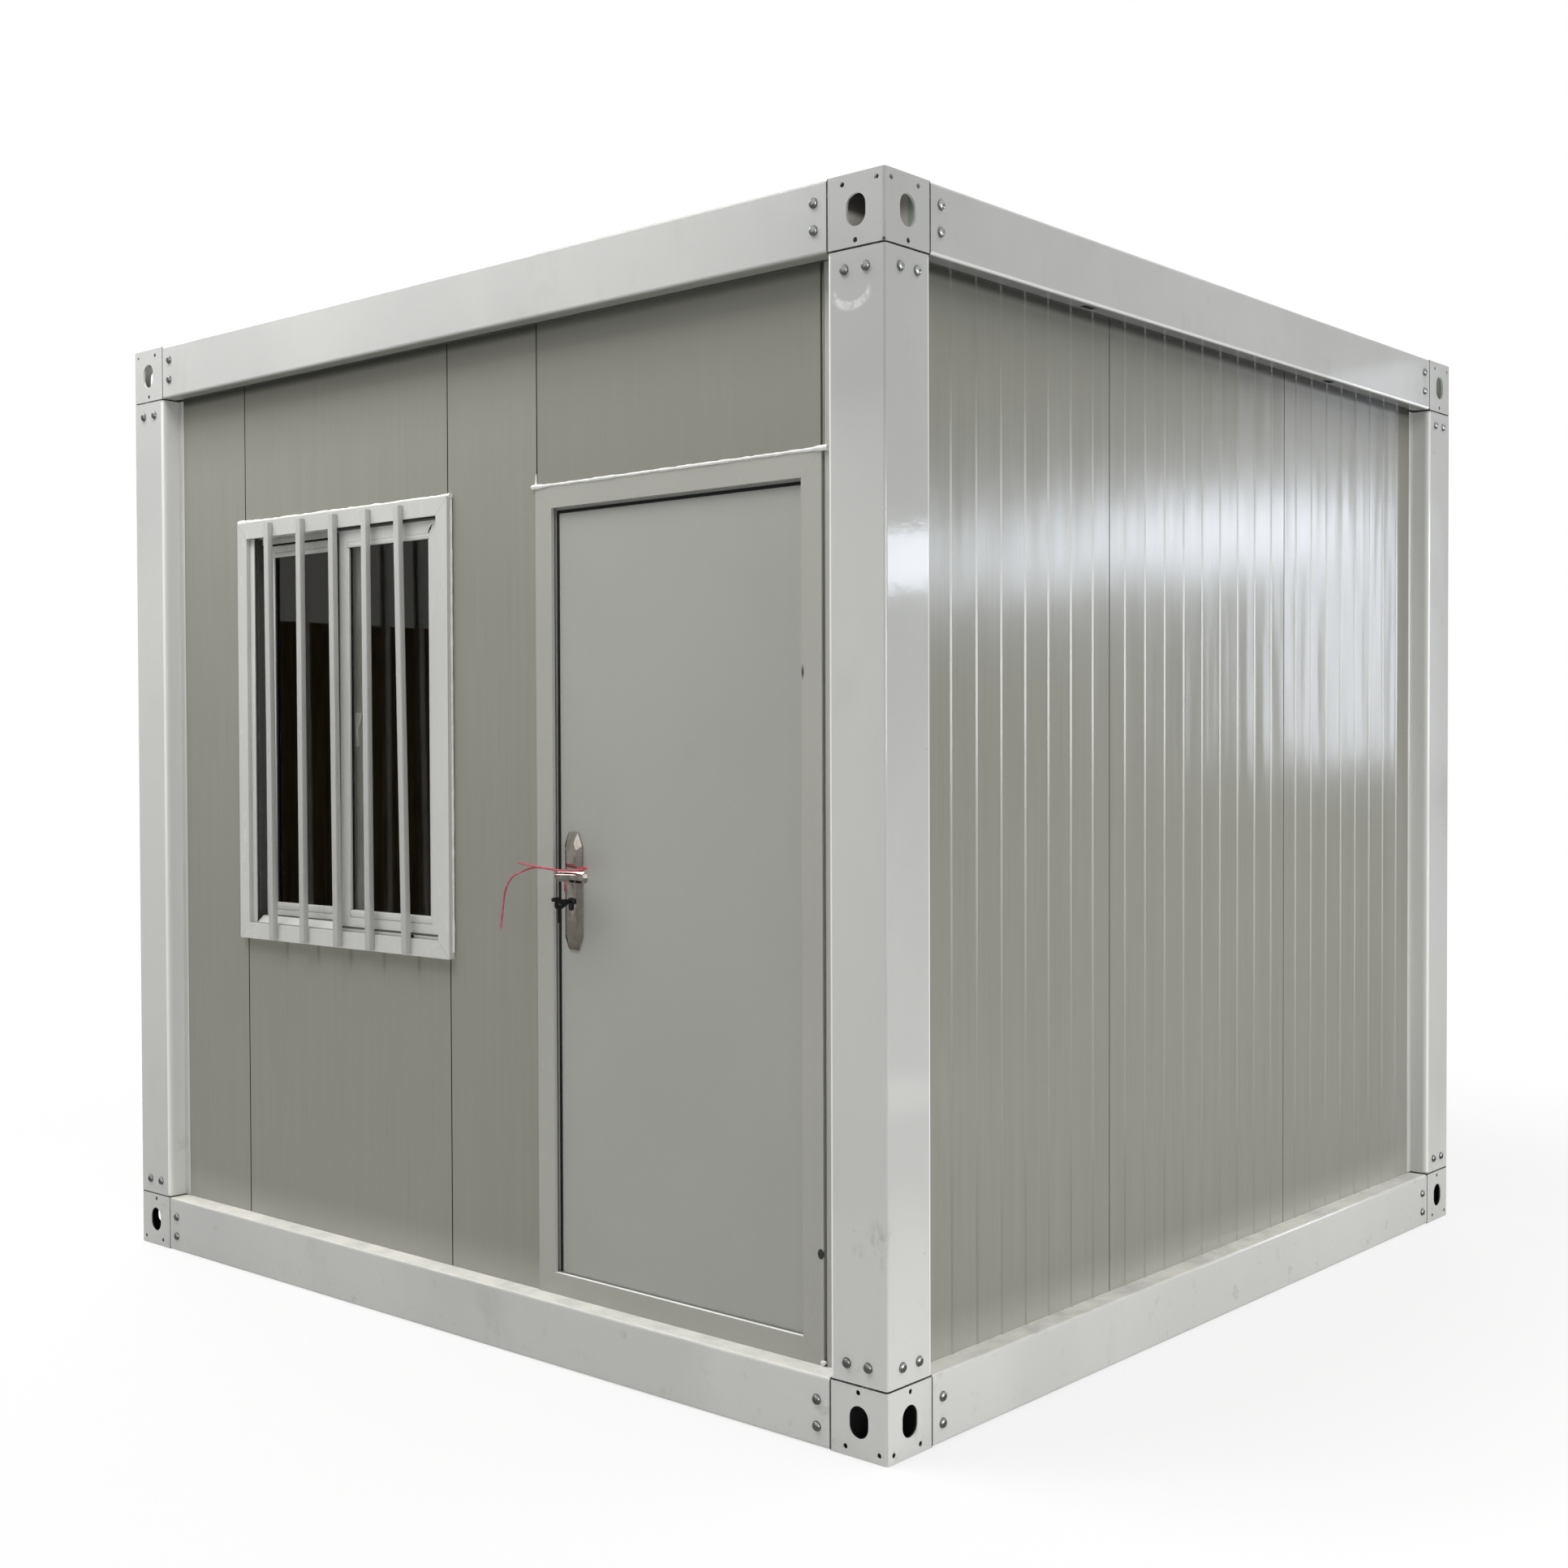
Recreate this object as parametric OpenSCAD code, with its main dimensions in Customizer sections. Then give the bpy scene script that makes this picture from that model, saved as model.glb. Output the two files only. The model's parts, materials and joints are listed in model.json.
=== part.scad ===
// Flat-pack container house: a square one-room cabin with a bolted frame of
// folded sheet, sandwich-panel walls, a barred sliding window and a steel door.
// Millimetres, +Z up, origin in the middle of the underside. The window and the
// door are in the -Y wall, the door next to the +X corner.

/* [Overall] */
// Width along X over the corner fittings
house_w = 3000; // [2900:10:6000]
// Depth along Y over the corner fittings
house_d = 3000; // [2900:10:6000]
// Height along Z over the corner fittings
house_h = 2800; // [2650:10:3200]

/* [Steel frame] */
// Width of a post's faces and height of a beam
frame_face = 160; // [150:1:180]
// Thickness of the folded sheet
frame_sheet = 4; // [3:0.5:5]
// Outside radius of the sheet's folds
fold_r = 7; // [6:0.5:10]
// Depth of a post's return, from its face to its lip
lip_depth = 56; // [45:1:65]
// Width of the lip that covers the edge of a wall panel
lip_w = 22; // [14:1:36]
// Gap between a corner fitting and the beams and posts beside it
fitting_gap = 3; // [1:0.5:5]
// Width of the beam flange that the walls stand on or reach up to
wall_flange = 140; // [130:1:150]
// Width of a beam's other flange
edge_flange = 50; // [36:1:70]
// Height of the turned-down edge of a top beam's upper flange
flange_drop = 16; // [8:1:24]
// Distance between the two drain slots under a side wall's top beam
drain_spacing = 1320; // [800:10:1800]
// Distance of a drain slot's middle from the beam's face
drain_in = 24; // [18:1:40]
// Length of a drain slot
drain_l = 46; // [24:1:80]
// Width of a drain slot
drain_w = 14; // [8:1:20]

/* [Corner fittings] */
// Thickness of a fitting's plates
fitting_plate = 6; // [5:0.5:10]
// Radius of its outer upright edge
fitting_r = 8; // [3:0.5:14]
// Width of the oblong slot in each outer face
slot_w = 54; // [40:1:64]
// Height of the slot
slot_h = 72; // [60:1:84]
// Distance of the slot's middle from the two outer edges
slot_in = 80; // [70:1:84]
// Diameter of the three small holes round each slot
hole_d = 12; // [6:0.5:14]
// Height of the two low holes above the fitting's outer end
hole_low = 20; // [18:1:24]
// Distance of the first low hole from the corner
hole_near = 23; // [20:1:30]
// Distance of the second low hole from the corner
hole_far = 118; // [110:1:124]
// Distance of the high hole from the corner
hole_mid = 82; // [70:1:90]
// Height of the high hole
hole_high = 145; // [136:1:148]
// Thickness of the tongues that reach into the beams and posts
tongue_t = 5; // [3:0.5:8]
// Width of a tongue
tongue_w = 110; // [60:1:120]
// Length of a tongue beyond the fitting
tongue_l = 78; // [60:1:120]
// Length of a tongue inside the fitting
tongue_lap = 30; // [12:1:40]

/* [Wall panels] */
// Thickness of a sandwich panel
panel_t = 50; // [40:1:60]
// Width of a whole panel
panel_w = 950; // [800:1:1000]
// Width of the open joint between two panels, at their outer skins
joint_w = 4; // [2:0.5:8]
// Depth of that joint
joint_depth = 6; // [3:0.5:12]
// Clearance between the cores of two panels
core_gap = 1; // [0.5:0.5:2]
// Distance between the pressed ribs of a side or back wall
rib_pitch = 100; // [60:1:150]
// Width of a rib at its foot
rib_w = 14; // [6:0.5:24]
// Width of a rib at its top
rib_top = 5; // [2:0.5:5.5]
// How far a rib stands out of the skin
rib_h = 3; // [1:0.25:5]
// Ribs in one whole panel
rib_count = 9; // [3:1:12]
// How far the middle panel of a side wall stands off the wall's middle
side_shift = -26; // [-40:1:40]

/* [Floor, ceiling and roof] */
// Thickness of the floor board
floor_t = 18; // [12:1:30]
// Height of a floor joist
joist_h = 90; // [60:1:120]
// Width of a floor joist
joist_w = 44; // [30:1:60]
// Floor joists
joist_count = 5; // [3:1:8]
// Thickness of the ceiling panel
ceiling_t = 12; // [6:1:30]
// Height of a roof purlin
purlin_h = 84; // [60:1:90]
// Width of a roof purlin
purlin_w = 50; // [30:1:70]
// Gap between a purlin's end and the beam's web
purlin_gap = 14; // [10:1:30]
// Roof purlins
purlin_count = 4; // [3:1:6]
// Thickness of the roof sheet
roof_t = 3; // [2:0.5:5]
// Height of a rib of the roof sheet
roof_rib_h = 20; // [10:1:30]
// Width of a rib at its foot
roof_rib_w = 60; // [40:1:90]
// Width of a rib at its top
roof_rib_top = 30; // [16:1:40]
// Distance between the ribs
roof_rib_pitch = 240; // [160:1:320]
// Distance of the roof sheet's edge from the house's faces
roof_in = 96; // [80:1:120]

/* [Window] */
// Share of the wall left free beside the window that is on its left
window_left_share = 0.53; // [0.3:0.01:0.7]
// Height of the wall over the window frame's face
over_window = 410; // [300:1:600]
// Height of the wall under it
under_window = 831; // [500:1:1000]
// How far the frame's face reaches over the panels round it
window_lap = 16; // [8:1:24]
// Width of the frame's face
window_face = 47; // [40:1:60]
// How far the frame stands proud of the wall
window_proud = 18; // [10:0.5:30]
// Depth of the frame from its face to its inner side
window_depth = 80; // [78:1:100]
// Depth of the groove that a sash runs in
track_depth = 9; // [5:0.5:14]
// Thickness of the rib between the two tracks
track_rib = 4; // [2:0.5:6]
// Thickness of a sash
sash_t = 22; // [16:0.5:24]
// Width of a sash's stiles and rails
sash_face = 50; // [35:1:60]
// How far the two sashes overlap at the meeting stiles
sash_overlap = 62; // [40:1:90]
// How much narrower the right sash is than the left one
sash_slim = 15; // [0:1:30]
// How far the left sash stands open
sash_open = 36; // [0:1:200]
// Clearance of a sash in its track
sash_gap = 2; // [0.5:0.25:3]
// Thickness of a pane
pane_t = 5; // [3:0.5:8]
// How far a pane is set into its sash
pane_bite = 10; // [5:0.5:16]
// Clearance between the window and the wall round it
window_fit = 2; // [0.5:0.5:5]
// Height of the sash latch
latch_h = 96; // [40:1:110]
// Width of the latch
latch_w = 14; // [10:1:26]
// Thickness of the latch
latch_t = 6; // [3:0.5:6]

/* [Door frame] */
// Distance between the door frame's face and the side wall's inner face
door_side = 117; // [60:1:200]
// Width over the door frame's face
door_w = 956; // [900:1:1000]
// Height of the wall over the door frame
over_door = 417; // [300:1:600]
// Width of a jamb's face
jamb_face = 60; // [50:1:72]
// Height of the head's face and of the sill's
head_face = 56; // [46:1:70]
// How far the frame stands proud of the wall
door_proud = 4; // [2:0.5:12]
// How far the frame's face reaches over the wall beside it
door_lap = 3; // [1:0.5:8]
// Gap between the door frame and the narrow panel at the corner post
door_side_gap = 9; // [4:0.5:14]
// Depth of the leaf's face behind the frame's face
leaf_recess = 15; // [11:0.5:24]
// Width of the stop that the leaf shuts against
stop_w = 12; // [9:0.5:18]
// Clearance between the shut leaf and the stop
stop_gap = 5; // [5:0.5:8]

/* [Door leaf] */
// Thickness of the leaf
leaf_t = 38; // [30:0.5:39]
// Clearance round the leaf's edges
leaf_gap = 7; // [6.5:0.25:9]
// Distance of the handle's middle from the leaf's free edge
backset = 69; // [60:1:110]
// Height of the lever's axis
lever_z = 1235; // [1050:1:1350]
// Hinges
hinge_count = 3; // [2:1:4]
// Height of a hinge
hinge_h = 110; // [80:1:160]
// Distance of the end hinges' middles from the leaf's ends
hinge_in = 220; // [150:5:400]
// Radius of a hinge's knuckles
knuckle_r = 7; // [5:0.5:9]
// Radius of its pin
pin_r = 3; // [2:0.25:4]
// Thickness of its plates
hinge_t = 3; // [2:0.25:4]
// Width of its plates
hinge_plate = 34; // [24:1:38]
// Clearance between the turning and the fixed half
hinge_gap = 0.5; // [0.3:0.1:1]

/* [Handle and lock] */
// Length of a handle plate
plate_h = 298; // [220:1:320]
// Width of a handle plate
plate_w = 64; // [45:1:80]
// Width of the plate at its ends
plate_end = 34; // [24:1:50]
// Length of the tapered ends
plate_taper = 34; // [20:1:60]
// Thickness of the plate at its edge
plate_edge = 4; // [2:0.5:6]
// Thickness of the plate at its flat ridge
plate_t = 12; // [8:0.5:16]
// Width of that ridge
plate_ridge = 37; // [14:1:42]
// Length of the ridge
plate_ridge_h = 244; // [160:1:260]
// How far the plate's middle is below the lever's axis
plate_drop = 40; // [20:1:60]
// Length of the lever from its axis to its tip
lever_l = 109; // [80:1:130]
// Height of the lever
lever_h = 24; // [16:0.5:30]
// Height of the lever at its tip
lever_tip = 29; // [14:0.5:34]
// Thickness of the lever
lever_t = 17; // [10:0.5:20]
// Bevel along the lever's edges
lever_edge = 7.5; // [1:0.5:8]
// Distance of the lever's middle from the leaf
lever_out = 56; // [45:1:70]
// Radius of the lever's neck
neck_r = 10; // [8:0.5:12]
// Radius of the spindle between the two levers
spindle_r = 5; // [4:0.25:6]
// Clearance round the neck and the spindle
spindle_gap = 0.6; // [0.4:0.1:1]
// How far the lock cylinder is below the lever's axis
lock_drop = 66; // [60:1:90]
// Radius of the lock cylinder's round part
lock_r = 10; // [7:0.25:12]
// Radius of its foot
foot_r = 6; // [4:0.25:7]
// Distance between the middles of the round part and the foot
foot_drop = 17; // [12:0.5:20]
// How far the cylinder stands out of the plate
lock_proud = 4; // [2:0.5:8]
// Clearance round the cylinder
lock_fit = 0.5; // [0.2:0.1:0.8]
// Length of the key's blade outside the lock
blade_l = 6; // [4:1:24]
// Width of the blade
blade_w = 8; // [6:0.5:10]
// Thickness of the blade
blade_t = 2.5; // [1.5:0.25:4]
// Radius of the neck of the key's head
key_neck_r = 7; // [5:0.5:9]
// Radius of the key's head
key_head_r = 13; // [10:0.5:15]
// Thickness of the key's head
key_head_t = 7; // [4:0.5:9]
// Distance of the head's middle from the lock
key_reach = 37; // [30:1:44]
// How far the head's middle hangs below the blade
key_sag = 5; // [0:0.5:8]
// Radius of the hole in the head
key_hole_r = 5; // [3:0.5:6]
// How far the hole is above the head's middle
key_hole_rise = 3; // [0:0.5:4]
// Radius of the tab on top of the head
tab_r = 5.5; // [4:0.5:7]
// Length of that tab
tab_l = 18; // [10:1:24]
// How far the spare key hangs below the blade
spare_l = 51; // [40:1:80]
// Thickness of the spare key
spare_t = 3; // [2:0.5:4]
// Thickness of the twine on the outer lever
twine_d = 5; // [3:0.5:6]

/* [Hidden] */

// Overrun of a cut past the face it opens
over = 1;
// Sides of a sheet's folds, of round holes and pins, and of the twine
fold_fn = 16;
round_fn = 32;
twine_fn = 8;

// Turn of each side of the house from the front
RIGHT = 90;
BACK = 180;
LEFT = 270;

// The steel frame
half_w = house_w / 2;
half_d = house_d / 2;
beam_end = frame_face + fitting_gap;
post_l = house_h - 2 * beam_end;
top_beam_z = house_h - frame_face;

// Depth of the walls behind the frame's faces
wall_out = lip_depth + frame_sheet;
wall_in = wall_out + panel_t;
wall_h = top_beam_z - frame_face;
floor_top = frame_face + floor_t;

// Wall layout: the side walls run past the ends of the front and back walls
panel_pitch = panel_w + joint_w;
inner_w = house_w - 2 * wall_in;
inner_d = house_d - 2 * wall_in;
inner_half_w = inner_w / 2;
inner_half_d = inner_d / 2;
joint_lap = (joint_w - core_gap) / 2;

// The door frame's place, from the corner and from the top beam
outer_r = inner_half_w - door_side;
outer_l = outer_r - door_w;
door_x = (outer_l + outer_r) / 2;
door_top = top_beam_z - over_door;
door_h = door_top - frame_face;
door_body_w = door_w - 2 * door_lap;
door_bay_left = door_x - door_body_w / 2;
door_bay_right = door_x + door_body_w / 2;

// The window's place, its body between the panels, and its tracks
window_w = panel_w + 2 * window_lap;
window_h = wall_h - over_window - under_window;
window_z = frame_face + under_window + window_h / 2;
free_wall = inner_half_w + door_bay_left - panel_w;
window_x = free_wall * window_left_share + panel_w / 2 - inner_half_w;
body_w = panel_w - 2 * window_fit;
body_h = window_h - 2 * window_lap;
window_top = window_z + body_h / 2 + window_fit;
window_bottom = window_z - body_h / 2;
bay_left = window_x - panel_w / 2;
bay_right = window_x + panel_w / 2;
light_w = window_w - 2 * window_face;
light_h = window_h - 2 * window_face;
track_w = light_w + 2 * track_depth;
track_h = light_h + 2 * track_depth;
window_y = wall_out - window_proud;
skin_t = (window_depth - track_rib - 2 * sash_t - 4 * sash_gap) / 2;
outer_track = window_y + skin_t;
track_room = sash_t + 2 * sash_gap;
inner_track = outer_track + track_room + track_rib;
sash_w = (track_w + sash_overlap) / 2 - sash_gap;
sash_h = track_h - sash_gap;
sash_bottom = window_z - track_h / 2;
sash_left_x = window_x - track_w / 2 + sash_gap + sash_open;
right_sash_w = sash_w - sash_slim;
sash_right_x = window_x + track_w / 2 - sash_gap - right_sash_w;
glass_h = sash_h - 2 * sash_face;
pane_y = (sash_t - pane_t) / 2;

// The door frame and its leaf
frame_y = wall_out - door_proud;
frame_depth = wall_in - frame_y;
opening_w = door_w - 2 * jamb_face;
inner_l = door_x - opening_w / 2;
inner_r = door_x + opening_w / 2;
opening_bottom = frame_face + head_face;
opening_top = door_top - head_face;
pocket_w = opening_w + 2 * stop_w;
stop_t = leaf_recess - stop_gap;
leaf_w = pocket_w - 2 * leaf_gap;
leaf_bottom = opening_bottom - stop_w + leaf_gap;
leaf_top = opening_top + stop_w - leaf_gap;
leaf_h = leaf_top - leaf_bottom;
leaf_y = frame_y + leaf_recess;
leaf_back = leaf_y + leaf_t;
leaf_left = door_x - leaf_w / 2;
leaf_right = door_x + leaf_w / 2;
corner_panel_left = door_bay_right + door_side_gap;

// The hinges stand on the inner faces of the leaf and the frame
hinge_x = leaf_right + leaf_gap / 2;
hinge_y = wall_in + hinge_t + knuckle_r + hinge_gap;
hinge_step = (leaf_h - 2 * hinge_in) / (hinge_count - 1);
knuckle_h = hinge_h / 3;

// The handle
handle_x = leaf_left + backset;
plate_z = lever_z - plate_drop;
lock_z = lever_z - lock_drop;

// Routes of the twine's two strands, which are tied behind the outer lever,
// from the middle of the lever at its axis
twine_long = [
    [18, 12, 8], [16.5, 11.3, 12], [13, 9, 15], [8, 5, 16], [2, 1.2, 15.2], [-9, 1, 15.3],
    [-20, 0.5, 16.2], [-35, -1, 17.5],
    [-47, -2, 18.5], [-59, -2, 19], [-71, -3, 19.5], [-83, -3, 19.5], [-95, -3, 18],
    [-107, -3, 15], [-118, -3, 12], [-130, -3, 8], [-142, -3, 4], [-154, -3, -0.5],
    [-165, -3, -5.5], [-175, -3, -12], [-183, -3, -20.5], [-190, -3, -30], [-196, -3, -40],
    [-200.5, -3, -51], [-203.5, -3, -63], [-205.5, -3, -75], [-207.5, -3, -87],
    [-209.5, -3, -99], [-211.5, -3, -111], [-214, -3, -123], [-216, -3, -134], [-218, -3, -145]
];
twine_short = [
    [9, 14, -38], [9, 14, -30], [10, 13.6, -22], [13, 13, -14], [18, 12, -6], [25, 11.2, 1],
    [34, 11.3, 7], [44, 11.2, 12], [55, 10.8, 17], [66, 10, 21.5], [77, 8.5, 24.5], [88, 7, 26],
    [97, 4.5, 25.5], [103, 0.5, 23.5], [104, -4, 21.5], [99.5, -7, 20.2], [91, -7.4, 19.4],
    [81, -7, 18.8], [70, -6.6, 18.2], [58, -6, 17.5], [46, -5.5, 16.8], [35, -5.2, 16],
    [24, -5, 15.4], [12, -4.8, 15], [0, -5, 15.4], [-12, -5.6, 16.6],
    [-24, -6, 18], [-36, -7, 19.5], [-48, -8, 21], [-60, -9, 22], [-72, -9, 23],
    [-84, -9, 24], [-96, -9, 25], [-108, -9, 26], [-120, -9, 27.5], [-130, -9, 29],
    [-138, -9, 30]
];

// Builders' helpers

// Everything that stands on one side of the house: local -Y is that side's face
module on_side(turn, half) {
    rotate([0, 0, turn])
        translate([0, -half, 0])
            children();
}

// A folded sheet that follows the outline of a flat shape, inside it
module folded_sheet() {
    difference() {
        offset(r = fold_r, $fn = fold_fn)
            offset(delta = -fold_r)
                children();
        offset(r = fold_r - frame_sheet, $fn = fold_fn)
            offset(delta = -fold_r)
                children();
    }
}

// A flat outline in X and Z, made solid from y = 0 towards +Y
module upright(depth) {
    translate([0, depth, 0])
        rotate([90, 0, 0])
            linear_extrude(depth)
                children();
}

// A bore along +Y
module bore_y(r, l) {
    rotate([-90, 0, 0])
        cylinder(h = l, r = r, $fn = round_fn);
}

// A box that is centred along X, from y and z upwards
module slab(x, y, z, w, d, h) {
    translate([x - w / 2, y, z])
        cube([w, d, h]);
}

// Corner fittings: local corner at the origin, the house towards +X, +Y and +Z

// Oblong slot, drilled along +Y through the plate at y = 0
module slot_cut(depth) {
    hull()
        for (s = [-1, 1])
            translate([slot_in, -over, slot_in + s * (slot_h - slot_w) / 2])
                bore_y(slot_w / 2, depth);
}

module face_cuts() {
    cut = fitting_plate + tongue_t + 2 * over;
    slot_cut(cut);
    for (p = [[hole_near, hole_low], [hole_far, hole_low], [hole_mid, hole_high]])
        translate([p[0], -over, p[1]])
            bore_y(hole_d / 2, cut);
}

module tongue() {
    translate([frame_face - tongue_lap, frame_sheet, (frame_face - tongue_w) / 2])
        cube([tongue_lap + fitting_gap + tongue_l, tongue_t, tongue_w]);
}

// The tongue that reaches up into a post, behind the face at y = 0
module post_tongue() {
    translate([(frame_face - tongue_w) / 2, frame_sheet, frame_face - tongue_lap])
        cube([tongue_w, tongue_t, tongue_lap + fitting_gap + tongue_l]);
}

// Swaps X and Y, so that one face's work is repeated on the other
module both_faces() {
    children();
    mirror([1, -1, 0])
        children();
}

module fitting() {
    hollow = frame_face - 2 * fitting_plate;
    difference() {
        union() {
            difference() {
                linear_extrude(frame_face)
                    intersection() {
                        square(frame_face);
                        translate([fitting_r, fitting_r])
                            offset(r = fitting_r, $fn = round_fn)
                                square(frame_face);
                    }
                translate([fitting_plate, fitting_plate, fitting_plate])
                    cube(hollow);
            }
            both_faces() {
                tongue();
                post_tongue();
            }
        }
        both_faces()
            face_cuts();
        rotate([90, 0, 0])
            mirror([0, 0, 1])
                slot_cut(fitting_plate + 2 * over);
    }
}

module fittings() {
    for (sx = [0, 1], sy = [0, 1])
        mirror([sx, 0, 0])
            mirror([0, sy, 0])
                translate([-half_w, -half_d, 0])
                    fitting();
}

module fittings_bottom() {
    color("gainsboro")
        fittings();
}

module fittings_top() {
    color("gainsboro")
        translate([0, 0, house_h])
            mirror([0, 0, 1])
                fittings();
}

// Posts: local corner at the origin, the house towards +X and +Y

module post() {
    reach = frame_face + lip_w;
    translate([0, 0, beam_end])
        linear_extrude(post_l)
            difference() {
                folded_sheet()
                    polygon([
                        [0, 0], [frame_face, 0], [frame_face, lip_depth], [reach, lip_depth],
                        [reach, reach], [lip_depth, reach], [lip_depth, frame_face],
                        [0, frame_face]
                    ]);
                translate([wall_out, wall_out])
                    square(reach);
            }
}

module post_at(right, back) {
    color("gainsboro")
        mirror([right, 0, 0])
            mirror([0, back, 0])
                translate([-half_w, -half_d, 0])
                    post();
}

module post_front_left() post_at(0, 0);
module post_front_right() post_at(1, 0);
module post_back_left() post_at(0, 1);
module post_back_right() post_at(1, 1);

// Beams: profile in depth and height, run along the side

// Sheet with a web, a wide flange at the top and a narrow one at the bottom
module channel() {
    difference() {
        folded_sheet()
            square([2 * wall_flange, frame_face]);
        translate([wall_flange, -over])
            square([2 * wall_flange, frame_face + 2 * over]);
        translate([edge_flange, -over])
            square([wall_flange, frame_face / 2]);
    }
}

module beam_run(l) {
    translate([-l / 2, 0, 0])
        rotate([90, 0, 90])
            linear_extrude(l)
                children();
}

module bottom_beam(turn, half, span) {
    color("gainsboro")
        on_side(turn, half)
            beam_run(span - 2 * beam_end)
                channel();
}

module drain_slots() {
    for (s = [-1, 1])
        hull()
            for (e = [-1, 1])
                translate([s * drain_spacing / 2 + e * (drain_l - drain_w) / 2, drain_in, -over])
                    cylinder(h = frame_sheet + 2 * over, r = drain_w / 2, $fn = round_fn);
}

module top_beam(turn, half, span) {
    color("gainsboro")
        on_side(turn, half)
            translate([0, 0, top_beam_z])
                difference() {
                    beam_run(span - 2 * beam_end) {
                        translate([0, frame_face])
                            mirror([0, 1])
                                channel();
                        translate([edge_flange - frame_sheet, frame_face - flange_drop])
                            square([frame_sheet, flange_drop]);
                    }
                    children();
                }
}

module bottom_beam_front() bottom_beam(0, half_d, house_w);
module bottom_beam_right() bottom_beam(RIGHT, half_w, house_d);
module bottom_beam_back() bottom_beam(BACK, half_d, house_w);
module bottom_beam_left() bottom_beam(LEFT, half_w, house_d);
module top_beam_front() top_beam(0, half_d, house_w);
module top_beam_right() top_beam(RIGHT, half_w, house_d) drain_slots();
module top_beam_back() top_beam(BACK, half_d, house_w);
module top_beam_left() top_beam(LEFT, half_w, house_d) drain_slots();

// Floor, ceiling and roof

// Joists of channel section between the flanges of the front and back beams
module floor_joists() {
    joist_l = house_d - 2 * wall_flange;
    step = (house_w - 2 * wall_flange) / (joist_count + 1);
    color("dimgray")
        for (i = [1 : joist_count])
            translate([-half_w + wall_flange + i * step, joist_l / 2, frame_face - joist_h])
                rotate([90, 0, 0])
                    linear_extrude(joist_l)
                        difference() {
                            translate([-joist_w / 2, 0])
                                square([joist_w, joist_h]);
                            translate([frame_sheet - joist_w / 2, frame_sheet])
                                square([joist_w, joist_h - 2 * frame_sheet]);
                        }
}

module floor_board() {
    color("tan")
        slab(0, -inner_half_d, frame_face, inner_w, inner_d, floor_t);
}

module ceiling_panel() {
    color("whitesmoke")
        slab(0, -inner_half_d, top_beam_z - ceiling_t, inner_w, inner_d, ceiling_t);
}

// Purlins of channel section on the bottom flanges of the side beams
module roof_purlins() {
    purlin_l = house_w - 2 * (frame_sheet + purlin_gap);
    field = house_d - 2 * (frame_face + purlin_w);
    step = field / (purlin_count - 1);
    color("gainsboro")
        for (i = [0 : purlin_count - 1])
            translate([-purlin_l / 2, i * step - field / 2, top_beam_z + frame_sheet])
                rotate([90, 0, 90])
                    linear_extrude(purlin_l)
                        difference() {
                            translate([-purlin_w / 2, 0])
                                square([purlin_w, purlin_h]);
                            translate([frame_sheet - purlin_w / 2, frame_sheet])
                                square([purlin_w, purlin_h - 2 * frame_sheet]);
                        }
}

// Line of the ribbed roof sheet across the house, at a height above the purlins
function roof_line(lift, half, ribs) = [
    [-half, lift],
    for (i = [0 : ribs - 1])
        let (x = (i - (ribs - 1) / 2) * roof_rib_pitch)
        for (p = [
            [x - roof_rib_w / 2, lift], [x - roof_rib_top / 2, lift + roof_rib_h],
            [x + roof_rib_top / 2, lift + roof_rib_h], [x + roof_rib_w / 2, lift]
        ]) p,
    [half, lift]
];

function reversed(a) = [for (i = [len(a) - 1 : -1 : 0]) a[i]];

module roof_sheet() {
    half = half_w - roof_in;
    sheet_l = house_d - 2 * roof_in;
    ribs = floor((2 * half - roof_rib_w) / roof_rib_pitch);
    color("lightsteelblue")
        difference() {
            translate([0, sheet_l / 2, top_beam_z + frame_sheet + purlin_h])
                rotate([90, 0, 0])
                    linear_extrude(sheet_l)
                        polygon(concat(
                            roof_line(0, half, ribs),
                            reversed(roof_line(roof_t, half, ribs))
                        ));
            for (sx = [-1, 1], sy = [-1, 1])
                translate([sx * half_w, sy * half_d, top_beam_z])
                    translate([-beam_end, -beam_end, 0])
                        cube([2 * beam_end, 2 * beam_end, frame_face]);
        }
}

// Wall panels

// One panel from x0 to x1 and z0 to z1, with a rebated joint down both edges
// and pressed ribs at the given places
module panel(x0, x1, z0, z1, ribs = []) {
    translate([0, wall_out, z0])
        linear_extrude(z1 - z0) {
            difference() {
                translate([x0, 0])
                    square([x1 - x0, panel_t]);
                for (x = [x0, x1])
                    translate([x - joint_lap, -over])
                        square([2 * joint_lap, joint_depth + over]);
            }
            for (x = ribs)
                translate([x, 0])
                    polygon([
                        [-rib_w / 2, over], [-rib_w / 2, 0], [-rib_top / 2, -rib_h],
                        [rib_top / 2, -rib_h], [rib_w / 2, 0], [rib_w / 2, over]
                    ]);
        }
}

// A plain wall from -limit to limit, of panels set out from its shifted middle, whose
// outside is ribbed between the lips of the posts
module ribbed_wall(shift, limit, half) {
    count = round(2 * limit / panel_pitch);
    lip_edge = half - frame_face - lip_w;
    half_core = (panel_pitch - core_gap) / 2;
    color("darkgray")
        for (k = [0 : count - 1]) {
            mid = shift + (k - (count - 1) / 2) * panel_pitch;
            x0 = k == 0 ? -limit : mid - half_core;
            x1 = k == count - 1 ? limit : mid + half_core;
            first = mid - (rib_count - 1) / 2 * rib_pitch;
            panel(x0, x1, frame_face, top_beam_z, [
                for (i = [0 : rib_count - 1])
                    let (x = first + i * rib_pitch)
                    if (x - rib_w > x0 && x + rib_w < x1 && abs(x) + rib_w / 2 < lip_edge) x
            ]);
        }
}

module wall_right() {
    on_side(RIGHT, half_w)
        ribbed_wall(side_shift, half_d - fold_r - frame_sheet, half_d);
}

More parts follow.
